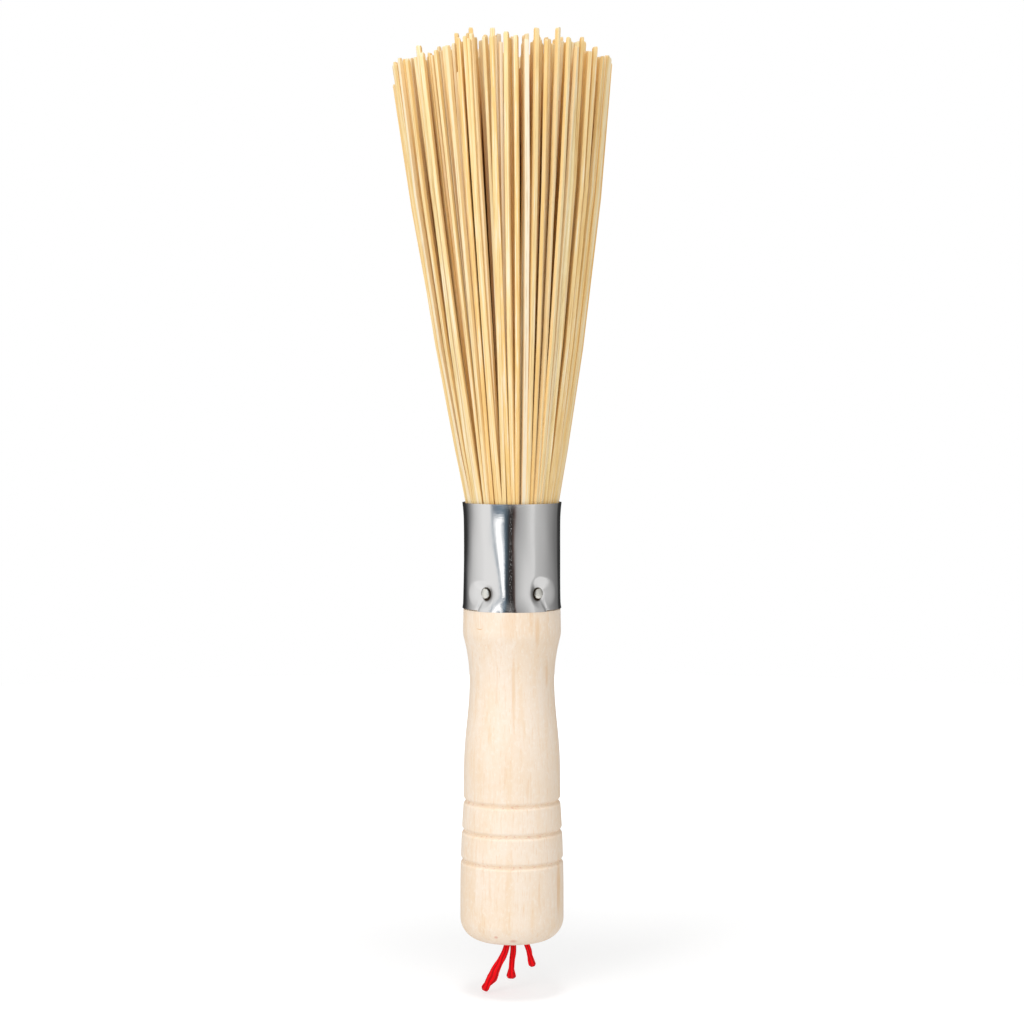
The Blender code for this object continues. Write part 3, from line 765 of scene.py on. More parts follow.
def front_ridge(s, angle, up, front_nail, nail_height, fade):
    """How far the sheet is drawn in on both sides of the ridge between the two front nails.

    The ridge's flanks are quarter sines. It is lower near the rim and tucks in there as a parabola.
    """
    run = np.abs(angle * s.waist_radius + s.ridge_offset)
    beyond = np.maximum(run - s.ridge_flat, 0)
    way = np.clip(beyond**2 / (beyond + s.ridge_softness) / (s.valley_reach - s.ridge_flat), 0, 1)
    slope = np.sin(math.pi / 2 * way)
    level = (s.valley_depth * slope - s.ridge_height) * (1 - smoothstep(front_nail, front_nail * 2, run))
    total = level * fade * (RIM_SHARE + (1 - RIM_SHARE) * smoothstep(0, nail_height, up))
    tuck = s.tuck_depth * np.clip(1 - up / s.tuck_rise, 0, 1) ** 2
    lip = s.rim_flare * np.clip(1 - up / s.rim_flare_length, 0, 1) ** 2
    return total + (tuck + lip) * bell(run / s.tuck_width)


def funnel(s, across, lift, outer, height_share):
    """The dent round a nail: 1 at its head and 0 at a reach that differs from side to side."""
    away = np.hypot(across, lift)
    upright_share = (np.abs(lift) / np.maximum(away, NO_LENGTH)) ** 2
    sideways = np.where(across * outer > 0, s.dent_width, s.dent_inner)
    upright = np.where(lift > 0, s.dent_rise * height_share, s.dent_fall)
    reach = sideways + (upright - sideways) * upright_share
    return np.clip(1 - np.maximum(away - s.dent_flat, 0) / reach, 0, 1) ** FUNNEL_POWER


def drawn_in(s, angle, up, nails, nail_height):
    """How far the sheet is drawn in at each angle and height.

    The two front nails stand beside the ridge and the others in bell-shaped pinches, and both fade
    upwards. Every nail has a funnel, and a crease that closes in on it from the rim.
    """
    fade = 1 - smoothstep(nail_height * FADE_SHARE, s.pinch_rise, up)
    front_nail = np.abs(turn_between(nails, 0.0)).min() * s.waist_radius
    total = front_ridge(s, angle, up, front_nail, nail_height, fade)
    near_rim = np.clip(1 - up / s.crease_rise, 0, 1)
    for nail, height_share in zip(nails, np.resize(FUNNEL_HEIGHTS, len(nails))):
        across = turn_between(angle, nail) * s.waist_radius
        from_front = abs(turn_between(nail, 0.0))
        outer = np.sign(turn_between(nail, 0.0))
        if from_front * s.waist_radius > front_nail * SAME_PLACE:
            total = total + s.pinch_depth * bell(across / s.pinch_width) * fade
        total = total + s.dent_depth * funnel(s, across, up - nail_height, outer, height_share)
        side = outer if from_front < math.pi / 2 else 1.0
        offset = side * s.crease_offset * (1 - CREASE_LEAN * (1 - near_rim))
        total = total + s.crease_depth * bell((across - offset) / s.crease_width) * near_rim
    return total


def sleeve_radius(context, angle, up):
    """The sleeve's outer radius with its lap, waves, pinches and funnels."""
    s = context.scene.wok_brush.ferrule
    radius = ferrule_radius(s, up) + lap_lift(s, angle) + waves(angle, up)
    return radius - drawn_in(s, angle, up, nail_angles(context), context.scene.wok_brush.nails.height)


def waves(angle, up):
    """The unevenness of a sheet rolled by hand: two long shallow waves and a short ripple, all sines."""
    swell = np.sin(3 * angle + 0.4) * np.sin(up * 150 + 0.8) + np.sin(7 * angle - up * 190)
    return WAVE_HEIGHT * swell + RIPPLE_HEIGHT * np.sin(13 * angle + up * 320 + 2)


# How far to the left of the front the stained and pitted band stands
BAND_SHIFT = 0.0004
# Half widths of the pitted and the stained band, where they start to fade and where they are gone
PITTED_BAND = (0.0002, 0.0005)
STAINED_BAND = (0.0010, 0.0020)
# How far a ring of dirt and painted contact shadow fades out past the nail's head, and how ragged its edge
# is
GRIME_AND_SHADOW_FADE = 0.0006
GRIME_AND_SHADOW_RAGGED = 0.0004
# Reach of the full painted shade on the flank beside each nail, and how many ring shifts its middle lies
# towards the front
FLANK_SHADE_CORE = 0.0008
FLANK_SHADE_SHIFTS = 3


def tinplate_finish(s, nails, runs):
    """Bright tinplate with smudges, scratches and specks, and a stained and pitted band at the front.

    Each run is a nail's place round the sleeve in metres. It has a flank of painted shade and a ring that
    is partly dirt, partly painted contact shadow.
    """
    f = new_finish("bright_tinplate")
    sheet = f.unrolled()
    smudge = f.noise(sheet * (160, 110, 1), detail=3)
    rolled = f.noise(sheet * (1400, 45, 1), detail=2)
    grain = f.noise(sheet * (620, 2300, 1), detail=3, roughness=0.6)
    hairs = f.noise(sheet * (380, 5200, 1), detail=2, roughness=0.6)
    speck = f.ease(f.noise(sheet * (1500, 1500, 1), detail=1), 0.72, 0.78)
    stain = f.ease(f.noise(sheet * (420, 60, 1), detail=3), 0.52, 0.7)
    beside = abs(f.axis(sheet, "X") + BAND_SHIFT)
    pits = f.ease(f.noise(sheet * (3600, 2900, 1), detail=0), 0.67, 0.73)
    pits = pits * (1 - f.ease(beside, *PITTED_BAND))
    band = 1 - f.ease(beside, *STAINED_BAND)
    shade = f.mix(stain * band * 0.8, s.metal, s.stain)
    rough = 0.11 + f.ease(smudge, 0.4, 0.75) * 0.08 + stain * 0.05 + pits * 0.6
    for run in runs:
        inward = math.copysign(s.grime_and_shadow_shift, run)
        # A ring round the head: partly dirt, partly painted contact shadow
        away = f.away(sheet - (run - inward, nails.height - s.grime_and_shadow_shift / 2, 0))
        away = away + (grain - 0.5) * GRIME_AND_SHADOW_RAGGED
        grime_and_shadow = 1 - f.ease(away, nails.head_radius, nails.head_radius + GRIME_AND_SHADOW_FADE)
        # Painted shade on the flank beside the nail, towards the front
        aside = f.away(sheet - (run - inward * FLANK_SHADE_SHIFTS, nails.height, 0))
        shade = f.mix((1 - f.ease(aside, FLANK_SHADE_CORE, s.flank_shade_reach)) * 0.6, shade, s.painted_flank_shade)
        shade = f.mix(grime_and_shadow, shade, s.grime_and_shadow)
        rough = rough + grime_and_shadow * 0.3
    height = grain + rolled * 0.3 + speck * 0.5 + hairs * 0.35
    bump = f.bump(height, 0.45, 0.00003)
    return f.surface(Base_Color=shade, Metallic=1.0, Roughness=rough, Normal=bump)


class WOKBRUSH_OT_ferrule(Operator):
    """Build the rolled tinplate ferrule with its lap, dents and creases"""

    bl_idname = "wokbrush.ferrule"
    bl_label = "Ferrule"

    def execute(self, context):
        """The outer face is radius(angle, height) on a grid; the inner one lies one thickness within."""
        s = context.scene.wok_brush.ferrule
        nails = context.scene.wok_brush.nails
        half = math.pi + s.lap / 2 / s.waist_radius
        angle = np.linspace(-half, half, SHEET_COLUMNS)[:, None]
        share = np.linspace(-1, 1, SHEET_ROWS)[None, :]
        up = (MOUTH - RIM) * (1 + np.sin(share * math.pi / 2)) / 2
        radius = sleeve_radius(context, angle, up)
        front = np.abs(angle) < math.pi / nails.count + s.crease_offset / s.waist_radius
        drop = s.rim_drop * front * np.clip(1 - up / s.crease_rise, 0, 1)
        dip = s.mouth_dip * (up / (MOUTH - RIM)) ** 2
        height = RIM + up - drop - dip
        grids = [np.stack([*around(angle, radius - inset), height], axis=-1) for inset in (0, s.sheet)]
        sections = np.concatenate([grids[0], grids[1][:, ::-1]], axis=1)[:, ::-1]
        points, faces = closed_tube(sections)
        flat = np.stack(np.broadcast_arrays(angle * s.waist_radius, up), axis=-1)
        flat = np.concatenate([flat, flat[:, ::-1]], axis=1)[:, ::-1].reshape(-1, 2)
        flat = np.concatenate([flat, [flat[0], flat[-1]]])
        turns = nail_angles(context)
        runs = np.where(turns > half, turns - 2 * math.pi, turns) * s.waist_radius
        finish = tinplate_finish(s, nails, runs.tolist())
        add_piece(
            "ferrule_sleeve", points, faces, finish, ["ferrule"], lambda loops: flat[loops]
        )
        return {"FINISHED"}


# Nails

NAIL_SIDES = 28
DOME_STEPS = 9
NAIL_SEED = 5
# Radius of the blunt point
BLUNT_RADIUS = 0.00004
# Stretch of the shank that keeps the corner under the head crisp
UNDER_HEAD = 0.0004
# Radius of the head's flat underside, and how far up its edge the head is widest, as shares
UNDERSIDE_SHARE = 0.86
WIDEST_SHARE = 0.45
# How uneven a head's outline is, as a share of its radius, and how far its lobes are turned, in radians
HEAD_UNEVENNESS = 0.022
LOBE_TURN = (0, 6)


def nail_outline(s):
    """A pointed shank and a head whose dome is a quarter of an ellipse, from the point up to the crown."""
    turn = np.linspace(0, math.pi / 2, DOME_STEPS, endpoint=False)
    dome_height = s.head_edge + (s.head_rise - s.head_edge) * np.sin(turn)
    dome = np.stack([s.head_radius * np.cos(turn), dome_height], axis=1)
    shank = [
        (BLUNT_RADIUS, -s.shank_length),
        (s.shank_radius, s.point_length - s.shank_length),
        (s.shank_radius, -UNDER_HEAD),
        (s.shank_radius, 0),
        (s.head_radius * UNDERSIDE_SHARE, 0),
        (s.head_radius, s.head_edge * WIDEST_SHARE),
    ]
    return np.concatenate([shank, dome])


def nail_finish(s):
    """Steel with hammer marks, tarnished brown towards the edge of the head."""
    f = new_finish("nail_steel")
    place = f.place()
    worn = f.noise(place * (1600, 1600, 1600), detail=3)
    edge = f.mark("edge")
    tarnish = f.ease(edge + worn * 0.3, 0.95, 1.17)
    shade = f.mix(tarnish, s.metal, s.tarnish)
    rough = 0.26 + worn * 0.2 + tarnish * 0.25
    return f.surface(Base_Color=shade, Metallic=1.0, Roughness=rough, Normal=f.bump(worn, 0.7, 0.00015))


class WOKBRUSH_OT_nails(Operator):
    """Build the nails that hold the ferrule"""

    bl_idname = "wokbrush.nails"
    bl_label = "Nails"

    def execute(self, context):
        """Each nail is its outline turned about its axis, a little uneven, and set square to the sheet."""
        s = context.scene.wok_brush.nails
        finish = nail_finish(s)
        chance = np.random.default_rng(NAIL_SEED)
        outline = nail_outline(s)
        sides = np.arange(NAIL_SIDES) * 2 * math.pi / NAIL_SIDES
        head = (outline[:, 1] > 0)[:, None, None]
        share = np.clip(outline[:, 0] / s.head_radius, 0, 1)
        marks = {"edge": np.concatenate([np.repeat(share, NAIL_SIDES), [0, 0]])}
        upright = np.array([0.0, 0.0, 1.0])
        for number, angle in enumerate(nail_angles(context), start=1):
            rings = turned_rings(outline, NAIL_SIDES)
            lobes = sum(np.sin(count * sides + chance.uniform(*LOBE_TURN)) for count in (2, 5))
            rings[..., :2] *= 1 + HEAD_UNEVENNESS * lobes[None, :, None] * head
            outward = np.array([math.sin(angle), -math.cos(angle), 0])
            across = np.array([math.cos(angle), math.sin(angle), 0])
            here = turn_between(np.array([[angle]]), 0.0)
            sheet = sleeve_radius(context, here, np.array([[s.height]])).item()
            seat = outward * (sheet + s.seat_gap) + upright * (RIM + s.height)
            place = rings[..., :1] * across + rings[..., 1:2] * upright + rings[..., 2:] * outward + seat
            points, faces = closed_tube(place)
            replaced = [f"ferrule_nail_{number}"]
            add_piece(f"nail_{number}", points, faces, finish, replaced, marks=marks)
        return {"FINISHED"}


# Bamboo

SECTORS = 6
CORE_RINGS = 3
INNER_RINGS = 6
# Length of a sliver's broad sides, as a share of its width and thickness, and its eight corners
SIDE_SHARE = 0.74
SLIVER_CORNERS = np.array(
    [
        (1, -SIDE_SHARE),
        (1, SIDE_SHARE),
        (SIDE_SHARE, 1),
        (-SIDE_SHARE, 1),
        (-1, SIDE_SHARE),
        (-1, -SIDE_SHARE),
        (-SIDE_SHARE, -1),
        (SIDE_SHARE, -1),
    ]
)
# A sliver has stations at its root and at the wire, and then from its bend to its tip at these shares
ROOT_STATIONS = 2
STATION_SHARES = np.array([0.0, 0.13, 0.36, 0.70, 0.996, 1.0])
# How far inside the mouth a sliver starts to lean
BEND_DEPTH = 0.0018
TUFT_SEED = 7
# How far a root strays from its ring, in metres, and along it, in radians
ROOT_STRAY = 0.00012
ROOT_TURN = 0.012
# A root nearer the axis than this has no clear direction of its own
CLEAR_RADIUS = 0.001
# Power by which the inner rings spread further than their share, and share of the stray of the outermost
INNER_SPREAD = 0.35
OUTERMOST_STRAY = 0.3
# Least distance of a tip's middle from the sides and from the front and back of the box, in widths
SIDE_MARGIN = 0.55
FRONT_MARGIN = 0.68
# Reach, number round the fan and phase of the waves that gather neighbouring tips
GATHERING = ((0.0006, 11, 0.6), (0.0005, 17, 2.1))
# Share of the outermost slivers that lean aside, how far, and how much they bow for it
ASIDE_SHARE = 0.12
ASIDE_REACH = 0.0036
ASIDE_BOW = 0.6
# Standard deviation of the tips' heights, as a share of their set spread
TRIM_SHARE = 1 / 1.5
# Share of the tips that stand proud, how far, and how far any tip stands above the trimmed ones at most
PROUD_SHARE = 0.05
PROUD_RISE = 0.0027
HIGHEST_RISE = 0.0031
# Share of short tips, the least and most that they lack, and how near the axis they are
SHORT_SHARE = 0.06
SHORT_LACK = (0.004, 0.022)
SHORT_WITHIN = 0.024
# How far the tips droop at each shoulder of the fan, and between which distances from the axis it grows
LEFT_DROOP = (0.0044, 0.015, 0.024)
RIGHT_DROOP = (0.0026, 0.016, 0.025)
LEFTMOST_DROOP = 0.0052
# How much fuller the bow is on the right, and how far a bow strays
RIGHT_BOW = 0.2
BOW_STRAY = 0.0014
# Size of the bundle where the wire squeezes it, and of a packed root and a cut tip, as shares
SQUEEZED_SHARE = 0.91
PACKED_SHARE = 0.9
TIP_SHARE = 0.8
# Least and most width and flatness of a sliver, as shares, and its unevenness along its length
WIDTH_SHARES = (0.86, 1.07)
FLATNESS_SHARES = (0.9, 1.04)
UNEVENNESS = 0.02
# How much slivers differ in spin and twist, in radians, and in the slope of their slanted cut
SPIN_SPREAD = 0.38
TWIST_SPREAD = 0.25
SLANT_SPREAD = 0.16
# Mean and spread of the tone, 0 for cream and 1 for amber, and how much darker the right side is
TONE_MEAN = 0.40
TONE_SPREAD = 0.30
RIGHT_TONE = 0.24
# How far to the right a sliver lies, as a share, where that darkening starts and where it is full
RIGHT_SHARES = (0.2, 0.8)
# Where the fan starts to be lit from above, and where it is fully lit, as shares of its height
LIT_SHARES = (0.72, 1.02)
# How far above the mouth the slivers have a little painted shade
MOUTH_SHADE = 0.09
# Shift of the pattern from one sliver to the next, round it in turns and along it in metres
PATTERN_SHIFT = (3.7, 0.137)


def sliver_layout(s):
    """Ring, sector and root angle of each sliver: six more in each ring than in the one within it."""
    rings = np.concatenate([[0], *(np.full(SECTORS * r, r) for r in range(1, s.rings + 1))])
    places = np.concatenate([[0], *(np.arange(SECTORS * r) for r in range(1, s.rings + 1))])
    steps = np.maximum(rings, 1)
    angle = 2 * math.pi * (places + 0.5) / (SECTORS * steps)
    return rings, places // steps, angle


def sliver_places(s, chance, rings, angle):
    """Where each sliver has its root and its tip, seen from above, its direction and its lean aside.

    Roots stand in even rings. A tip lies further out in the same direction and strays a little.
    """
    count = len(rings)
    pitch = s.bundle_radius / (s.rings + 0.5)
    root_radius = pitch * rings + chance.uniform(-ROOT_STRAY, ROOT_STRAY, count)
    root = np.stack(around(angle + chance.normal(0, ROOT_TURN, count), root_radius), axis=1)
    fan_radius = (FAN_RIGHT - FAN_LEFT) / 2 - s.width / 2
    lean = np.array([(FAN_RIGHT + FAN_LEFT) / 2, 0])
    spread = fan_radius / (pitch * s.rings) * (np.maximum(rings, 1) / s.rings) ** -INNER_SPREAD
    outward = root / np.maximum(np.linalg.norm(root, axis=1), CLEAR_RADIUS)[:, None]
    onward = np.stack([-outward[:, 1], outward[:, 0]], axis=1)
    loose = np.where(rings == s.rings, OUTERMOST_STRAY, 1.0)[:, None]
    tip = root * spread[:, None] + lean
    tip = tip + outward * loose * chance.normal(0, s.stray / 2, (count, 1))
    tip = tip + onward * chance.normal(0, s.stray / 2, (count, 1))
    gathered = sum(reach * np.sin(number * angle + phase) for reach, number, phase in GATHERING)
    leans = (chance.random(count) < ASIDE_SHARE) & (rings == s.rings)
    aside = np.where(leans, chance.choice([-1, 1], count) * ASIDE_REACH, 0)
    tip = tip + onward * (gathered * rings / s.rings + aside)[:, None]
    side_margin = s.width * SIDE_MARGIN
    front_margin = s.width * FRONT_MARGIN
    tip[:, 0] = np.clip(tip[:, 0], FAN_LEFT + side_margin, FAN_RIGHT - side_margin)
    tip[:, 1] = np.clip(tip[:, 1], CAD_BOX[0][1] + front_margin, CAD_BOX[1][1] - front_margin)
    return root, tip, outward, aside


def sliver_tops(s, chance, tip):
    """Heights of the tips: trimmed level, a few proud or short, and drooping at the fan's shoulders."""
    count = len(tip)
    trimmed = BUTT + s.trim_height
    top = trimmed + chance.normal(0, s.trim_spread * TRIM_SHARE, count)
    odd = chance.random(count)
    short = (odd < SHORT_SHARE) & (np.abs(tip[:, 0]) < SHORT_WITHIN)
    lack = np.where(short, chance.uniform(*SHORT_LACK, count), 0)
    top = top + np.where(odd > 1 - PROUD_SHARE, PROUD_RISE, 0) - lack
    top = np.minimum(top, trimmed + HIGHEST_RISE)
    for side, (droop, start, end) in ((-1, LEFT_DROOP), (1, RIGHT_DROOP)):
        top = top - droop * smoothstep(start, end, side * tip[:, 0])
    top[np.argmin(tip[:, 0])] -= LEFTMOST_DROOP
    return top


def sliver_lines(s, chance, rings, root, tip, top, outward, aside):
    """Centre lines by sliver and station: a straight root, squeezed in at the wire, and a bowed lean.

    From its bend to its tip a sliver is a straight line and a parabola that is 0 at both ends.
    """
    count = len(rings)
    bend = MOUTH - BEND_DEPTH
    height = bend + (top[:, None] - bend) * STATION_SHARES
    along = STATION_SHARES[None, :, None]
    bow = outward * (1 + RIGHT_BOW * outward[:, :1]) * (s.bow * 4 * (rings / s.rings))[:, None]
    bow = bow + chance.normal(0, BOW_STRAY, (count, 2))
    bow = bow + outward * np.abs(aside)[:, None] * ASIDE_BOW
    line = root[:, None] * (1 - along) + tip[:, None] * along + bow[:, None] * along * (1 - along)
    packed = root[:, None] * np.array([1, SQUEEZED_SHARE])[None, :, None]
    places = np.concatenate([packed, line], axis=1)
    below = np.broadcast_to([ROOTS, WIRE_HEIGHT], (count, ROOT_STATIONS))
    heights = np.concatenate([below, height], axis=1)
    return np.concatenate([places, heights[..., None]], axis=2)


def sliver_shapes(s):
    """Centre lines, half widths, spins and marks of all slivers, as arrays by sliver and station."""
    chance = np.random.default_rng(TUFT_SEED)
    rings, sectors, angle = sliver_layout(s)
    root, tip, outward, aside = sliver_places(s, chance, rings, angle)
    top = sliver_tops(s, chance, tip)
    centres = sliver_lines(s, chance, rings, root, tip, top, outward, aside)
    count, stations = centres.shape[:2]
    size = chance.uniform(*WIDTH_SHARES, (count, 1))
    size = size * (1 + chance.normal(0, UNEVENNESS, (count, stations)))
    flatness = chance.uniform(*FLATNESS_SHARES, (count, 1))
    station = np.arange(stations)
    wider = (station > ROOT_STATIONS) * (rings == s.rings)[:, None]
    size = size * (1 + (s.outer_width - 1) * wider)
    size = size * np.where(station < ROOT_STATIONS, PACKED_SHARE, 1.0)
    size[:, -1] *= TIP_SHARE
    spin = angle[:, None] + chance.normal(0, SPIN_SPREAD, (count, 1))
    spin = spin + chance.normal(0, TWIST_SPREAD, (count, 1)) * np.linspace(0, 1, stations)
    right_tone = RIGHT_TONE * smoothstep(*RIGHT_SHARES, outward[:, 0])
    return {
        "ring": rings,
        "sector": sectors,
        "centre": centres,
        "half_width": s.width / 2 * size,
        "half_depth": s.thickness / 2 * size * flatness,
        "spin": spin,
        "tone": np.clip(chance.normal(TONE_MEAN, TONE_SPREAD, count) + right_tone, 0, 1),
        "depth": 1 - rings / s.rings,
        "skin": chance.random(count),
        "slant": chance.normal(0, SLANT_SPREAD, (count, 2)),
    }


def light_from_above(centre):
    """How much light reaches each station from above: none low in the fan and almost all at the tips."""
    return smoothstep(*LIT_SHARES, (centre[..., 2] - MOUTH) / (LONGEST_TIP - MOUTH))


def sliver_corners(shapes, chosen):
    """Corners of the chosen slivers, by sliver, station and side.

    An octagon with four broad sides is set across the sliver at every station and turned by its spin.
    The last one is cut on a slant.
    """
    a = shapes["half_width"][chosen][..., None] * SLIVER_CORNERS[:, 0]
    b = shapes["half_depth"][chosen][..., None] * SLIVER_CORNERS[:, 1]
    spin = shapes["spin"][chosen][..., None]
    x = a * np.cos(spin) - b * np.sin(spin)
    y = a * np.sin(spin) + b * np.cos(spin)
    slant = shapes["slant"][chosen]
    z = np.zeros_like(x)
    z[:, -2:] = slant[:, None, :1] * x[:, -2:] + slant[:, None, 1:] * y[:, -2:]
    return np.stack([x, y, z], axis=-1) + shapes["centre"][chosen][:, :, None, :]


def sliver_marks(shapes, chosen, grid):
    """A sliver's tone, its skin, its painted shade by how deep it lies in the bundle, its cut end and its
    split sides.
    """
    per = grid[1] * grid[2]
    cut = np.zeros(grid)
    cut[:, -1] = 1
    split = np.abs(SLIVER_CORNERS[:, 0]) == 1
    # Painted shade, darker the deeper a sliver lies in the bundle and fading out where light from above
    # reaches it
    lit = light_from_above(shapes["centre"][chosen])
    depth = shapes["depth"][chosen][:, None, None] * (1 - lit)[..., None]
    return {
        "tone": np.repeat(shapes["tone"][chosen], per),
        "skin": np.repeat(shapes["skin"][chosen], per),
        "depth": np.broadcast_to(depth, grid).ravel(),
        "cut": cut.ravel(),
        "split": np.broadcast_to(split, grid).ravel(),
    }


def sliver_mesh(shapes, chosen):
    """Points, faces, unrolled map and marks of the chosen slivers, each closed at both ends.

    The map runs round a sliver in turns and along it in metres.
    """
    points = sliver_corners(shapes, chosen)
    grid = points.shape[:3]
    count, stations, sides = grid
    per = stations * sides
    starts = np.arange(count)[:, None, None] * per
    quads = (starts + ring_faces(stations, sides)[None]).reshape(-1, 4)
    ring = np.arange(sides)
    low = (np.arange(count)[:, None] * per + ring[::-1]).tolist()
    high = (np.arange(count)[:, None] * per + per - sides + ring).tolist()
    faces = quads.tolist() + low + high
    numbers = np.flatnonzero(chosen)[:, None, None]
    turned = np.broadcast_to(ring / sides + numbers * PATTERN_SHIFT[0], grid)
    lift = shapes["centre"][chosen][..., None, 2] + numbers * PATTERN_SHIFT[1]
    flat = np.stack([turned, np.broadcast_to(lift, grid)], axis=-1).reshape(-1, 2)

    def unrolled(loops):
        """The seam's far side is one turn further on than its near side."""
        places = flat[loops].copy()
        seam = len(quads) * 4
        first = loops[:seam].reshape(-1, 4) % sides
        wrapped = (first[:, :1] == sides - 1) & (first == 0)
        places[:seam, 0] += wrapped.ravel()
        return places

    return points.reshape(-1, 3), faces, unrolled, sliver_marks(shapes, chosen, grid)


def bamboo_finish(s):
    """Split bamboo: each sliver has its own tone, with straight fibres, and painted shade inside the bundle
    and just above the mouth.
    """
    f = new_finish("split_bamboo")
    place = f.unrolled()
    tone = f.mark("tone")
    skin = f.mark("skin")
    cut = f.mark("cut")
    stops = [(0, s.cream), (0.5, s.gold), (1, s.amber)]
    drift = f.noise(place * (1.5, 22, 1), detail=2)
    wander = tone + (drift - 0.5) * 0.5
    shade = f.node("ShaderNodeValToRGB", {"stops": stops}, {0: wander})
    shade = f.mix(f.ease(skin, 0.90, 0.95) * 0.5, shade, s.olive)
    fibres = f.noise(place * (13, 45, 1), detail=4, roughness=0.65)
    dark = f.ease(fibres, 0.53, 0.66)
    pale = f.ease(fibres, 0.49, 0.36)
    shade = f.mix(dark * 0.52, shade, s.fibre_and_mouth_shade)
    shade = f.mix(pale * 0.85, shade, s.cream)
    # Split sides: their own more golden tone, and partly painted shade between neighbouring slivers
    shade = f.mix(f.mark("split") * 0.5, shade, s.split)
    # Painted shade inside the bundle, lighter for the rings near the outside and deeper within
    depth = f.mark("depth")
    shade = f.mix(f.ease(depth, 0.04, 0.3) * 0.42, shade, s.painted_shade)
    shade = f.mix(f.ease(depth, 0.26, 0.55) * 0.8, shade, s.deep)
    # Painted shade just above the ferrule's mouth
    low = 1 - f.ease(f.axis(f.place(), "Z"), MOUTH, MOUTH + MOUTH_SHADE)
    shade = f.mix(low * 0.12, shade, s.fibre_and_mouth_shade)
    shade = f.mix(cut * 0.35, shade, s.cream)
    rough = 0.42 + fibres * 0.2
    bump = f.bump(fibres, 0.35, 0.00008)
    return f.surface(Base_Color=shade, Roughness=rough, Specular_IOR_Level=0.25, Normal=bump)


class WOKBRUSH_OT_slivers(Operator):
    """Build the fan of bamboo slivers, one piece for each bunch"""

    bl_idname = "wokbrush.slivers"
    bl_label = "Bamboo slivers"

    def execute(self, context):
        s = context.scene.wok_brush.bamboo
        shapes = sliver_shapes(s)
        finish = bamboo_finish(s)
        ring, sector = shapes["ring"], shapes["sector"]
        bunches = [("core", ring <= CORE_RINGS)]
        for number in range(SECTORS):
            middle = (ring > CORE_RINGS) & (ring <= INNER_RINGS) & (sector == number)
            bunches.append((f"inner_{number + 1}", middle))
            bunches.append((f"outer_{number + 1}", (ring > INNER_RINGS) & (sector == number)))
        for name, chosen in bunches:
            points, faces, unrolled, marks = sliver_mesh(shapes, chosen)
            piece = f"slivers_{name}"
            replaced = [f"bamboo_{name}"]
            add_piece(piece, points, faces, finish, replaced, unrolled, marks, sharp=30)
        return {"FINISHED"}


# Binding wire

WIRE_STATIONS = 96
WIRE_SIDES = 10
# How far the wire wanders outwards and upwards on its way round
WIRE_WANDER = 0.00005
WIRE_WAVE = 0.00008


def wire_finish(s):
    """Annealed steel, dark with rubbed patches."""
    f = new_finish("annealed_wire")
    patchy = f.noise(f.place() * (700, 700, 700), detail=3)
    shade = f.mix(patchy, s.bright, s.dark)
    rough = 0.35 + patchy * 0.3
    return f.surface(Base_Color=shade, Metallic=1.0, Roughness=rough, Normal=f.bump(patchy, 0.2, 0.00005))


class WOKBRUSH_OT_binding(Operator):
    """Build the wire that binds the roots inside the ferrule"""

    bl_idname = "wokbrush.binding"
    bl_label = "Binding wire"

    def execute(self, context):
        """A circle of wire carried once round the roots, a little uneven, and joined to itself."""
        s = context.scene.wok_brush.binding
        turn = np.arange(WIRE_STATIONS) * 2 * math.pi / WIRE_STATIONS
        x, y = around(turn, WIRE_REACH - s.radius + WIRE_WANDER * np.sin(5 * turn))
        outward = np.stack([*around(turn, 1), np.zeros_like(turn)], axis=1)
        line = np.stack([x, y, WIRE_HEIGHT + WIRE_WAVE * np.sin(3 * turn)], axis=1)
        side = np.arange(WIRE_SIDES) * 2 * math.pi / WIRE_SIDES
        section = outward[:, None] * np.cos(side)[:, None] - np.array([0, 0, 1]) * np.sin(side)[:, None]
        rings = line[:, None] + section * s.radius
        faces = ring_faces(WIRE_STATIONS, WIRE_SIDES).tolist()
        last = (WIRE_STATIONS - 1) * WIRE_SIDES
        here = np.arange(WIRE_SIDES)
        there = np.roll(here, -1)
        faces += np.stack([last + here, last + there, there, here], axis=1).tolist()
        add_piece("binding_wire", rings, faces, wire_finish(s), ["root_binding_wire"])
        return {"FINISHED"}


# Cord

# Each tail's route from the knot to its tip, as in the CAD, in metres from the middle of the butt
TAIL_ROUTES = {
    "left": (
        (-0.0015, -0.0018, 0.0218),
        (-0.0013, -0.0019, 0.0150),
        (-0.0008, -0.0018, 0.0080),
        (-0.0006, -0.0015, 0.0020),
        (-0.0017, -0.0014, -0.0026),
        (-0.0031, -0.0014, -0.0059),
        (-0.0045, -0.0015, -0.0087),
        (-0.0063, -0.0016, -0.0120),
        (-0.0081, -0.0017, -0.0152),
        (-0.0086, -0.0017, -0.0165),
    ),
    "middle": (
        (-0.0005, 0.0022, 0.0218),
        (-0.0002, 0.0022, 0.0150),
        (0.0002, 0.0019, 0.0080),
        (0.0005, 0.0013, 0.0020),
        (0.0004, 0.0012, -0.0026),
        (0.0002, 0.0011, -0.0059),
        (0.0000, 0.0011, -0.0087),
        (-0.0003, 0.0011, -0.0115),
        (-0.0005, 0.0011, -0.0132),
    ),
    "right": (
        (0.0025, -0.0004, 0.0218),
        (0.0028, -0.0003, 0.0150),
        (0.0032, -0.0001, 0.0080),
        (0.0036, 0.0001, 0.0020),
        (0.0047, 0.0001, -0.0023),
        (0.0053, 0.0001, -0.0040),
        (0.0058, 0.0000, -0.0059),
        (0.0063, 0.0000, -0.0078),
        (0.0067, 0.0000, -0.0091),
    ),
}
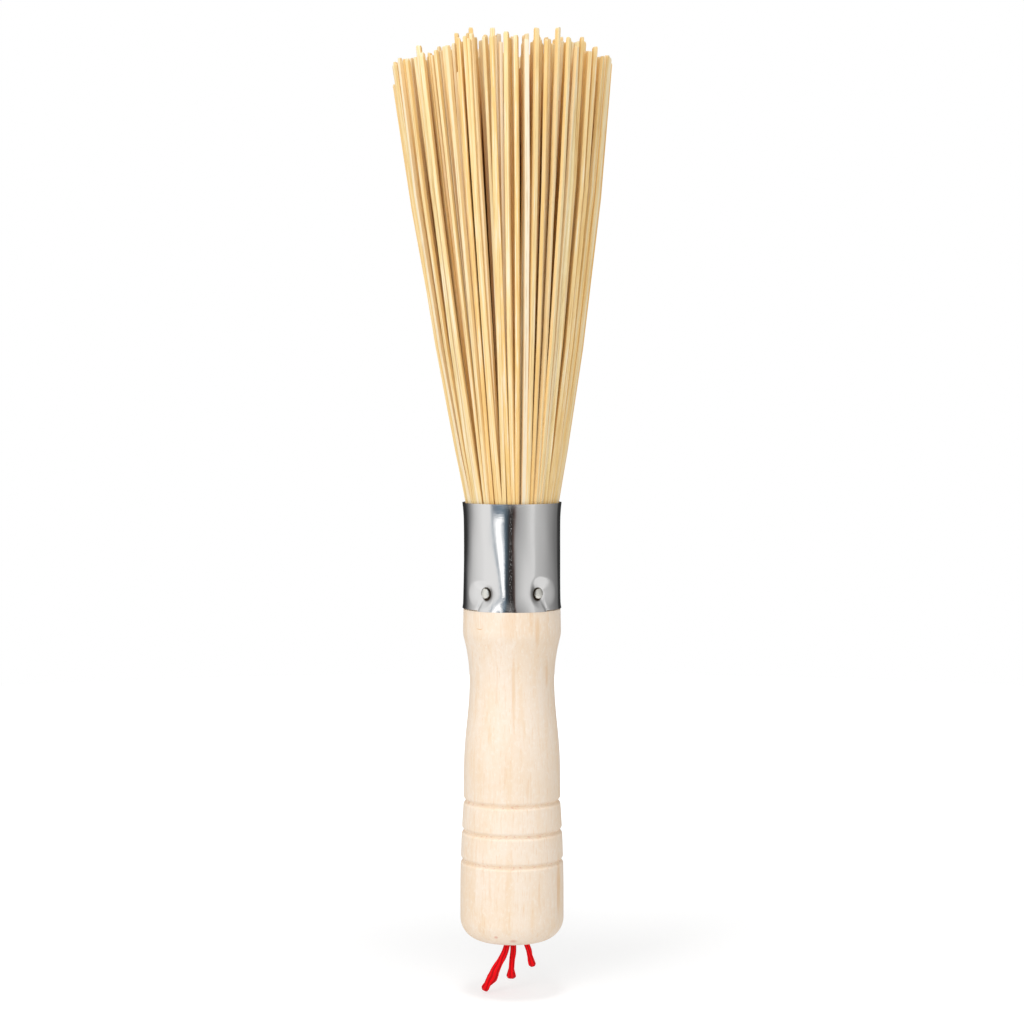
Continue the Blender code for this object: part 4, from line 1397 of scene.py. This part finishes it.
# How many times the cord's half width a tail has, by the distance from its tip in metres
TAIL_SWELLS = {
    "left": (
        (0.0, 1.05),
        (0.0008, 1.5),
        (0.0022, 1.25),
        (0.0045, 1.95),
        (0.0070, 1.75),
        (0.0105, 1.35),
        (0.0160, 1.1),
    ),
    "middle": ((0.0, 1.25), (0.0006, 1.85), (0.0014, 1.6), (0.0030, 1.1), (0.0080, 1.1), (0.014, 1.0)),
    "right": ((0.0, 0.9), (0.0006, 1.4), (0.0016, 1.35), (0.0035, 1.05), (0.0070, 1.0), (0.012, 1.0)),
}
CORD_SIDES = 36
CORD_RINGS = 150
STRANDS = 6
# Length in which a strand winds once round the cord
STRAND_LAY = 0.0120
# How far the winding strays, in radians, and how fast that changes, in radians per metre
LAY_STRAY = 0.5
LAY_WAVE = 1500
# Turn of the strands from one tail to the next, in radians
TAIL_TURN = 1.3
# How high up its side a strand's ridge leaves the cord at its set width, and how much a ridge melts away
RIDGE_LEVEL = 0.6
RIDGE_MELT = 0.8
# Stretch behind the tip in which a tail is lumpy
LUMPY_LENGTH = 0.016
# How fast the broad and the small lumps wind along a tail, in radians per metre, and their height as
# a share of its half width
BROAD_LUMPS = (900, 0.07)
SMALL_LUMPS = (700, 0.06)
# Stretch that is melted at a tail's tip, and the tiny one at the knot's hidden end
TAIL_MELT = 0.0016
KNOT_MELT = 0.0001
# Share of that stretch that is melted through
MELTED_SHARE = 0.4
# Height of the knot's trefoil, and how much of the solid knot's width it fills
KNOT_HEIGHT = 1.7
KNOT_FILL = 0.96


def cord_finish(s):
    """Braided red cord: red ridges, painted shade of deeper red between them, streaks of lint and smoother
    melted ends.
    """
    f = new_finish("red_braid")
    thread = f.unrolled()
    ridge = f.mark("ridge")
    melted = f.mark("melted")
    lint = f.noise(thread * (24, 2600, 1), detail=3)
    # Painted shade between the strands
    shade = f.mix(f.ease(ridge, 0.15, 0.6), s.deep_red_and_shade, s.red)
    shade = f.mix(f.ease(lint, 0.5, 0.75) * 0.35, shade, s.deep_red_and_shade)
    shade = f.mix(melted * 0.3, shade, s.deep_red_and_shade)
    rough = 0.62 - melted * 0.35
    bump = f.bump(lint, 0.35, 0.0001)
    return f.surface(Base_Color=shade, Roughness=rough, Specular_IOR_Level=0.15, Normal=bump)


def braided_tube(path, swell, s, phase, melt_length):
    """A tube round the path whose radius swells as told, with a cosine ridge for each winding strand."""
    run = np.concatenate([[0], np.cumsum(np.linalg.norm(np.diff(path, axis=0), axis=1))])
    to_tip = run[-1] - run
    turn = np.arange(CORD_SIDES) * 2 * math.pi / CORD_SIDES
    wind = run[:, None] * 2 * math.pi / STRAND_LAY + np.sin(run[:, None] * LAY_WAVE + phase) * LAY_STRAY
    ridge = np.cos(STRANDS * turn[None] + wind + phase) * 0.5 + 0.5
    melted = 1 - smoothstep(melt_length * MELTED_SHARE, melt_length, to_tip)[:, None]
    (broad_wind, broad_height), (small_wind, small_height) = BROAD_LUMPS, SMALL_LUMPS
    lumps = np.cos(turn[None] + phase + run[:, None] * broad_wind) * broad_height
    lumps = lumps + np.cos(3 * turn[None] - run[:, None] * small_wind) * small_height
    half = s.diameter / 2 * swell(to_tip)[:, None] * (1 + lumps * (to_tip[:, None] < LUMPY_LENGTH))
    radius = half + s.ridge * (ridge - RIDGE_LEVEL) * (1 - melted * RIDGE_MELT)
    side, other_side = swept_frames(path)
    section = side[:, None] * np.cos(turn)[None, :, None]
    section = section + other_side[:, None] * np.sin(turn)[None, :, None]
    rings = path[:, None] + section * radius[..., None]
    rings = rings[:, ::-1] if np.cross(side[0], other_side[0]) @ (path[1] - path[0]) < 0 else rings
    return rings, ridge, np.broadcast_to(melted, ridge.shape), run


class WOKBRUSH_OT_cords(Operator):
    """Build the three cord tails and the knot that holds them in the bore"""

    bl_idname = "wokbrush.cords"
    bl_label = "Cord tails and knot"

    def execute(self, context):
        s = context.scene.wok_brush.cord
        finish = cord_finish(s)
        for number, (name, route) in enumerate(TAIL_ROUTES.items()):
            path = smooth_curve(np.array(route) + (0, 0, BUTT), CORD_RINGS)
            stations, sizes = np.array(TAIL_SWELLS[name]).T
            rings, ridge, melted, run = braided_tube(
                path, lambda to_tip: np.interp(to_tip, stations, sizes), s, number * TAIL_TURN, TAIL_MELT
            )
            piece = self.tube(f"cord_{name}", rings, ridge, melted, run, finish, [f"cord_tail_{name}"])
        self.knot(s, finish)
        return {"FINISHED"}

    def tube(self, name, rings, ridge, melted, run, finish, replaced):
        """A piece of cord with closed ends, its map round and along it, and its ridge and melted marks."""
        points, faces = closed_tube(rings)
        turns = np.broadcast_to(np.arange(CORD_SIDES) / CORD_SIDES, ridge.shape)
        flat = np.stack([turns, np.broadcast_to(run[:, None], ridge.shape)], axis=-1).reshape(-1, 2)
        flat = np.concatenate([flat, [flat[0], flat[-1]]])
        ends = [ridge[0].mean(), ridge[-1].mean()]
        marks = {
            "ridge": np.concatenate([ridge.ravel(), ends]),
            "melted": np.concatenate([melted.ravel(), [melted[0, 0], melted[-1, 0]]]),
        }
        return add_piece(
            name, points, faces, finish, replaced, lambda loops: flat[loops], marks, sharp=70
        )

    def knot(self, s, finish):
        """A cord along a trefoil, (sin t + 2 sin 2t, cos t - 2 cos 2t, -1.7 sin 3t), in the bore."""
        low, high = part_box("cord_knot")
        reach = (high.x - low.x) / 2 - s.diameter / 2
        t = np.linspace(0, 2 * math.pi, CORD_RINGS)[:-1]
        shape = (np.sin(t) + 2 * np.sin(2 * t), np.cos(t) - 2 * np.cos(2 * t), -KNOT_HEIGHT * np.sin(3 * t))
        path = np.stack(shape, axis=1) * reach / 3 * KNOT_FILL + np.array((low + high) / 2)
        rings, ridge, melted, run = braided_tube(path, np.ones_like, s, 0.0, KNOT_MELT)
        self.tube("knot_in_bore", rings, ridge, melted, run, finish, ["cord_knot"])


# Stage

KEY_AZIMUTH = math.radians(-36.0)
KEY_DISTANCE = 1.15
# Each soft box: its name, place, target, width and height in metres, and power in watts
SOFT_BOXES = (
    ("key_box", (*around(KEY_AZIMUTH, KEY_DISTANCE), 0.50), (0, 0, 0.50), (0.47, 1.15), 6.0),
    ("top_box", (-0.04, -0.28, 1.35), (0, 0, 0.05), (0.28, 0.28), 6.0),
    ("front_box", (0.66, -1.10, 0.30), (0, 0, 0.05), (0.60, 0.60), 1.9),
)
# Light of the world on all that isn't seen directly, where white is 1
WORLD_FILL = 0.57
FLOOR_SIDES = 96
# Where the floor's glow starts to grow and where it is whitest, from the middle of the grip
FLOOR_EDGE = (0.12, 0.50)
# Glow of the floor on all things, what it adds where it is seen directly, and the growth of that
FLOOR_GLOW = 0.75
SEEN_GLOW = 0.45
EDGE_GLOW = 0.7
# The glowing drum that paints the reflections in the metal
STUDIO_SIDES = 64
STUDIO_RADIUS = 2.4
STUDIO_LOW = -1.6
STUDIO_HIGH = 2.6
# Left and right border of the key box painted on the drum as a highlight that mirrors see, with the width
# over which each fades
KEY_LEFT = math.radians(-48.5)
KEY_RIGHT = math.radians(-14.5)
KEY_LEFT_FADE = 0.12
KEY_RIGHT_FADE = 0.20
# Slopes, as rise over reach, over which the painted key box fades in below and out above, its right border
# moves in by the narrowing, and the painted floor gives way to the drum's sides
KEY_BOTTOM = (-0.155, -0.105)
KEY_TOP = (0.80, 0.95)
NARROWED_SLOPES = (-0.06, -0.02)
NARROWING = 0.22
FLOOR_SLOPES = (-0.38, -0.25)
# How much of the drum's painted tone the painted floor covers, and how much brighter than white the painted
# key box is
FLOOR_COVER = 0.7
KEY_EXTRA = 0.7
# Painted reflection: colour of the glowing drum round the brush that shiny metal mirrors, by the angle from
# the camera's side
PAINTED_REFLECTION_LEVELS = (
    (-180, (0.03, 0.03, 0.03)),
    (-140, (0.035, 0.035, 0.035)),
    (-128, (0.115, 0.115, 0.12)),
    (-113, (0.40, 0.40, 0.40)),
    (-101, (0.64, 0.64, 0.64)),
    (-88, (0.78, 0.78, 0.78)),
    (-70, (0.92, 0.92, 0.92)),
    (-52, (0.92, 0.92, 0.92)),
    (-49, (0.50, 0.56, 0.62)),
    (-46, (0.12, 0.16, 0.21)),
    (-26, (0.16, 0.23, 0.30)),
    (-16, (0.10, 0.15, 0.19)),
    (-9, (0.04, 0.05, 0.06)),
    (-5, (0.045, 0.035, 0.03)),
    (0, (0.02, 0.02, 0.02)),
    (5, (0.09, 0.05, 0.04)),
    (10, (0.36, 0.35, 0.35)),
    (20, (0.45, 0.45, 0.45)),
    (36, (0.60, 0.60, 0.60)),
    (49, (0.80, 0.80, 0.80)),
    (54, (0.82, 0.82, 0.82)),
    (58, (0.61, 0.61, 0.61)),
    (80, (0.50, 0.50, 0.50)),
    (97, (0.34, 0.34, 0.34)),
    (120, (0.20, 0.20, 0.20)),
    (132, (0.17, 0.17, 0.17)),
    (140, (0.04, 0.04, 0.04)),
)


def floor_finish():
    """A white floor, half matt and half glowing, whose glow grows outwards so that its edge is lost."""
    f = new_finish("white_floor")
    f.surface(Base_Color=(0.9, 0.9, 0.9), Roughness=0.9)
    outwards = f.ease(f.away(f.place()), *FLOOR_EDGE)
    level = f.directly_seen() * (SEEN_GLOW + outwards * EDGE_GLOW) + FLOOR_GLOW
    glow = f.node("ShaderNodeEmission", None, {"Color": (1, 1, 1), "Strength": level})
    matt = Signal(f, f.tree.nodes["Principled BSDF"].outputs[0])
    return f.show(f.node("ShaderNodeMixShader", None, {0: 0.5, 1: matt, 2: glow}))


def painted_reflection_finish():
    """Painted reflection that the metal mirrors: the levels by direction, a pale floor and the key box as a
    bright window.
    """
    f = new_finish("painted_reflection_drum")
    place = f.place()
    across, depth = f.axis(place, "X"), f.axis(place, "Y")
    turn = f.node("ShaderNodeMath", {"operation": "ARCTAN2"}, {0: across, 1: depth * -1})
    stops = [((degrees + 180) / 360, level) for degrees, level in PAINTED_REFLECTION_LEVELS]
    shade = f.node("ShaderNodeValToRGB", {"stops": stops}, {0: turn / (2 * math.pi) + 0.5})
    slope = f.axis(place, "Z") / f.away(place * (1, 1, 0))
    shade = f.mix((1 - f.ease(slope, *FLOOR_SLOPES)) * FLOOR_COVER, shade, (1, 1, 1))
    narrowed = turn + f.ease(slope, *NARROWED_SLOPES) * NARROWING
    box = f.ease(turn, KEY_LEFT, KEY_LEFT + KEY_LEFT_FADE)
    box = box * (1 - f.ease(narrowed, KEY_RIGHT - KEY_RIGHT_FADE, KEY_RIGHT))
    box = box * f.ease(slope, *KEY_BOTTOM) * (1 - f.ease(slope, *KEY_TOP))
    shade = f.mix(box, shade, (1, 1, 1))
    glow = {"Color": shade, "Strength": 1 + box * KEY_EXTRA}
    return f.show(f.node("ShaderNodeEmission", None, glow))


def stage_mesh(name, points, faces, material):
    """A mesh of the stage, which stands for no CAD node."""
    mesh = bpy.data.meshes.new(name)
    mesh.from_pydata(points.tolist(), [], faces)
    mesh.materials.append(material)
    made = bpy.data.objects.new(name, mesh)
    bpy.context.scene.collection.objects.link(made)
    return made


class WOKBRUSH_OT_stage(Operator):
    """Set up the camera, the lamps, the white floor and the glowing drum that paints the metal's
    reflections
    """

    bl_idname = "wokbrush.stage"
    bl_label = "Stage"

    def execute(self, context):
        s = context.scene.wok_brush.stage
        self.camera(context, s)
        self.lamps()
        self.world(context)
        self.floor(s)
        self.studio()
        context.scene.view_settings.view_transform = "Standard"
        return {"FINISHED"}

    def camera(self, context, s):
        data = bpy.data.cameras.new("camera")
        data.lens = s.lens
        camera = bpy.data.objects.new("camera", data)
        camera.location = (0, -s.camera_distance, BUTT + s.camera_height)
        camera.rotation_euler = (math.pi / 2 - s.pitch, 0, 0)
        context.scene.collection.objects.link(camera)
        context.scene.camera = camera

    def lamps(self):
        """Soft boxes at the left front, above and at the front; mirrors see the painted reflection drum
        instead.
        """
        for name, place, target, size, power in SOFT_BOXES:
            data = bpy.data.lights.new(name, "AREA")
            data.shape = "RECTANGLE"
            data.size, data.size_y = size
            data.energy = power
            lamp = bpy.data.objects.new(name, data)
            lamp.location = place
            lamp.rotation_euler = (Vector(target) - Vector(place)).to_track_quat("-Z", "Y").to_euler()
            lamp.visible_camera = False
            lamp.visible_glossy = False
            bpy.context.scene.collection.objects.link(lamp)

    def world(self, context):
        """White to the camera, in mirrors and through glass, and a soft pale fill for the rest."""
        f = Finish(bpy.data.worlds.new("studio_light"))
        context.scene.world = f.owner
        level = f.directly_seen() * (1 - WORLD_FILL) + WORLD_FILL
        background = f.tree.nodes["Background"]
        f.feed(background.inputs["Color"], (1, 1, 1))
        f.feed(background.inputs["Strength"], level)

    def floor(self, s):
        """A white disc under the brush that keeps a faint shadow."""
        ring = np.arange(FLOOR_SIDES)
        x, y = around(ring * 2 * math.pi / FLOOR_SIDES, s.floor_radius)
        level = CORD_TIP - s.floor_clearance
        rim = np.stack([x, y, np.full(FLOOR_SIDES, level)], axis=1)
        points = np.concatenate([rim, [(0, 0, level)]])
        faces = fan_faces(FLOOR_SIDES, ring, True).tolist()
        floor = stage_mesh("floor", points, faces, floor_finish())
        floor.visible_glossy = False

    def studio(self):
        """A glowing drum round the brush that only mirrors see, painting their reflections."""
        x, y = around(np.arange(STUDIO_SIDES) * 2 * math.pi / STUDIO_SIDES, STUDIO_RADIUS)
        rings = [np.stack([x, y, np.full(STUDIO_SIDES, z)], axis=1) for z in (STUDIO_LOW, STUDIO_HIGH)]
        points, faces = closed_tube(np.stack(rings))
        inwards = [face[::-1] for face in faces]
        reflection_drum = stage_mesh("painted_reflection_drum", points, inwards, painted_reflection_finish())
        for ray in ("camera", "diffuse", "transmission", "volume_scatter", "shadow"):
            setattr(reflection_drum, f"visible_{ray}", False)


OPERATORS = (
    WOKBRUSH_OT_stage,
    WOKBRUSH_OT_cords,
    WOKBRUSH_OT_handle,
    WOKBRUSH_OT_ferrule,
    WOKBRUSH_OT_nails,
    WOKBRUSH_OT_slivers,
    WOKBRUSH_OT_binding,
)


class WOKBRUSH_PT_panel(Panel):
    """Lists the operators and the settings of the brush"""

    bl_idname = "WOKBRUSH_PT_panel"
    bl_label = "Wok Brush"
    bl_space_type = "VIEW_3D"
    bl_region_type = "UI"
    bl_category = "Wok Brush"

    def draw(self, context):
        layout = self.layout
        for operator in OPERATORS:
            layout.operator(operator.bl_idname)
        settings = context.scene.wok_brush
        for group in ("handle", "ferrule", "nails", "bamboo", "binding", "cord", "stage"):
            box = layout.box()
            box.label(text=group.title())
            for key in getattr(settings, group).bl_rna.properties.keys():
                if key not in ("rna_type", "name"):
                    box.prop(getattr(settings, group), key)


CLASSES = (
    HandleSettings,
    FerruleSettings,
    NailSettings,
    BambooSettings,
    BindingSettings,
    CordSettings,
    StageSettings,
    WokBrushSettings,
    *OPERATORS,
    WOKBRUSH_PT_panel,
)


def register():
    for one in CLASSES:
        bpy.utils.register_class(one)
    bpy.types.Scene.wok_brush = PointerProperty(type=WokBrushSettings)


def unregister():
    del bpy.types.Scene.wok_brush
    for one in reversed(CLASSES):
        bpy.utils.unregister_class(one)


def main():
    """Builds the stage and every piece in order."""
    register()
    bpy.ops.wokbrush.stage()
    bpy.ops.wokbrush.cords()
    bpy.ops.wokbrush.handle()
    bpy.ops.wokbrush.ferrule()
    bpy.ops.wokbrush.nails()
    bpy.ops.wokbrush.slivers()
    bpy.ops.wokbrush.binding()
    bpy.context.view_layer.update()


if __name__ == "__main__":
    main()
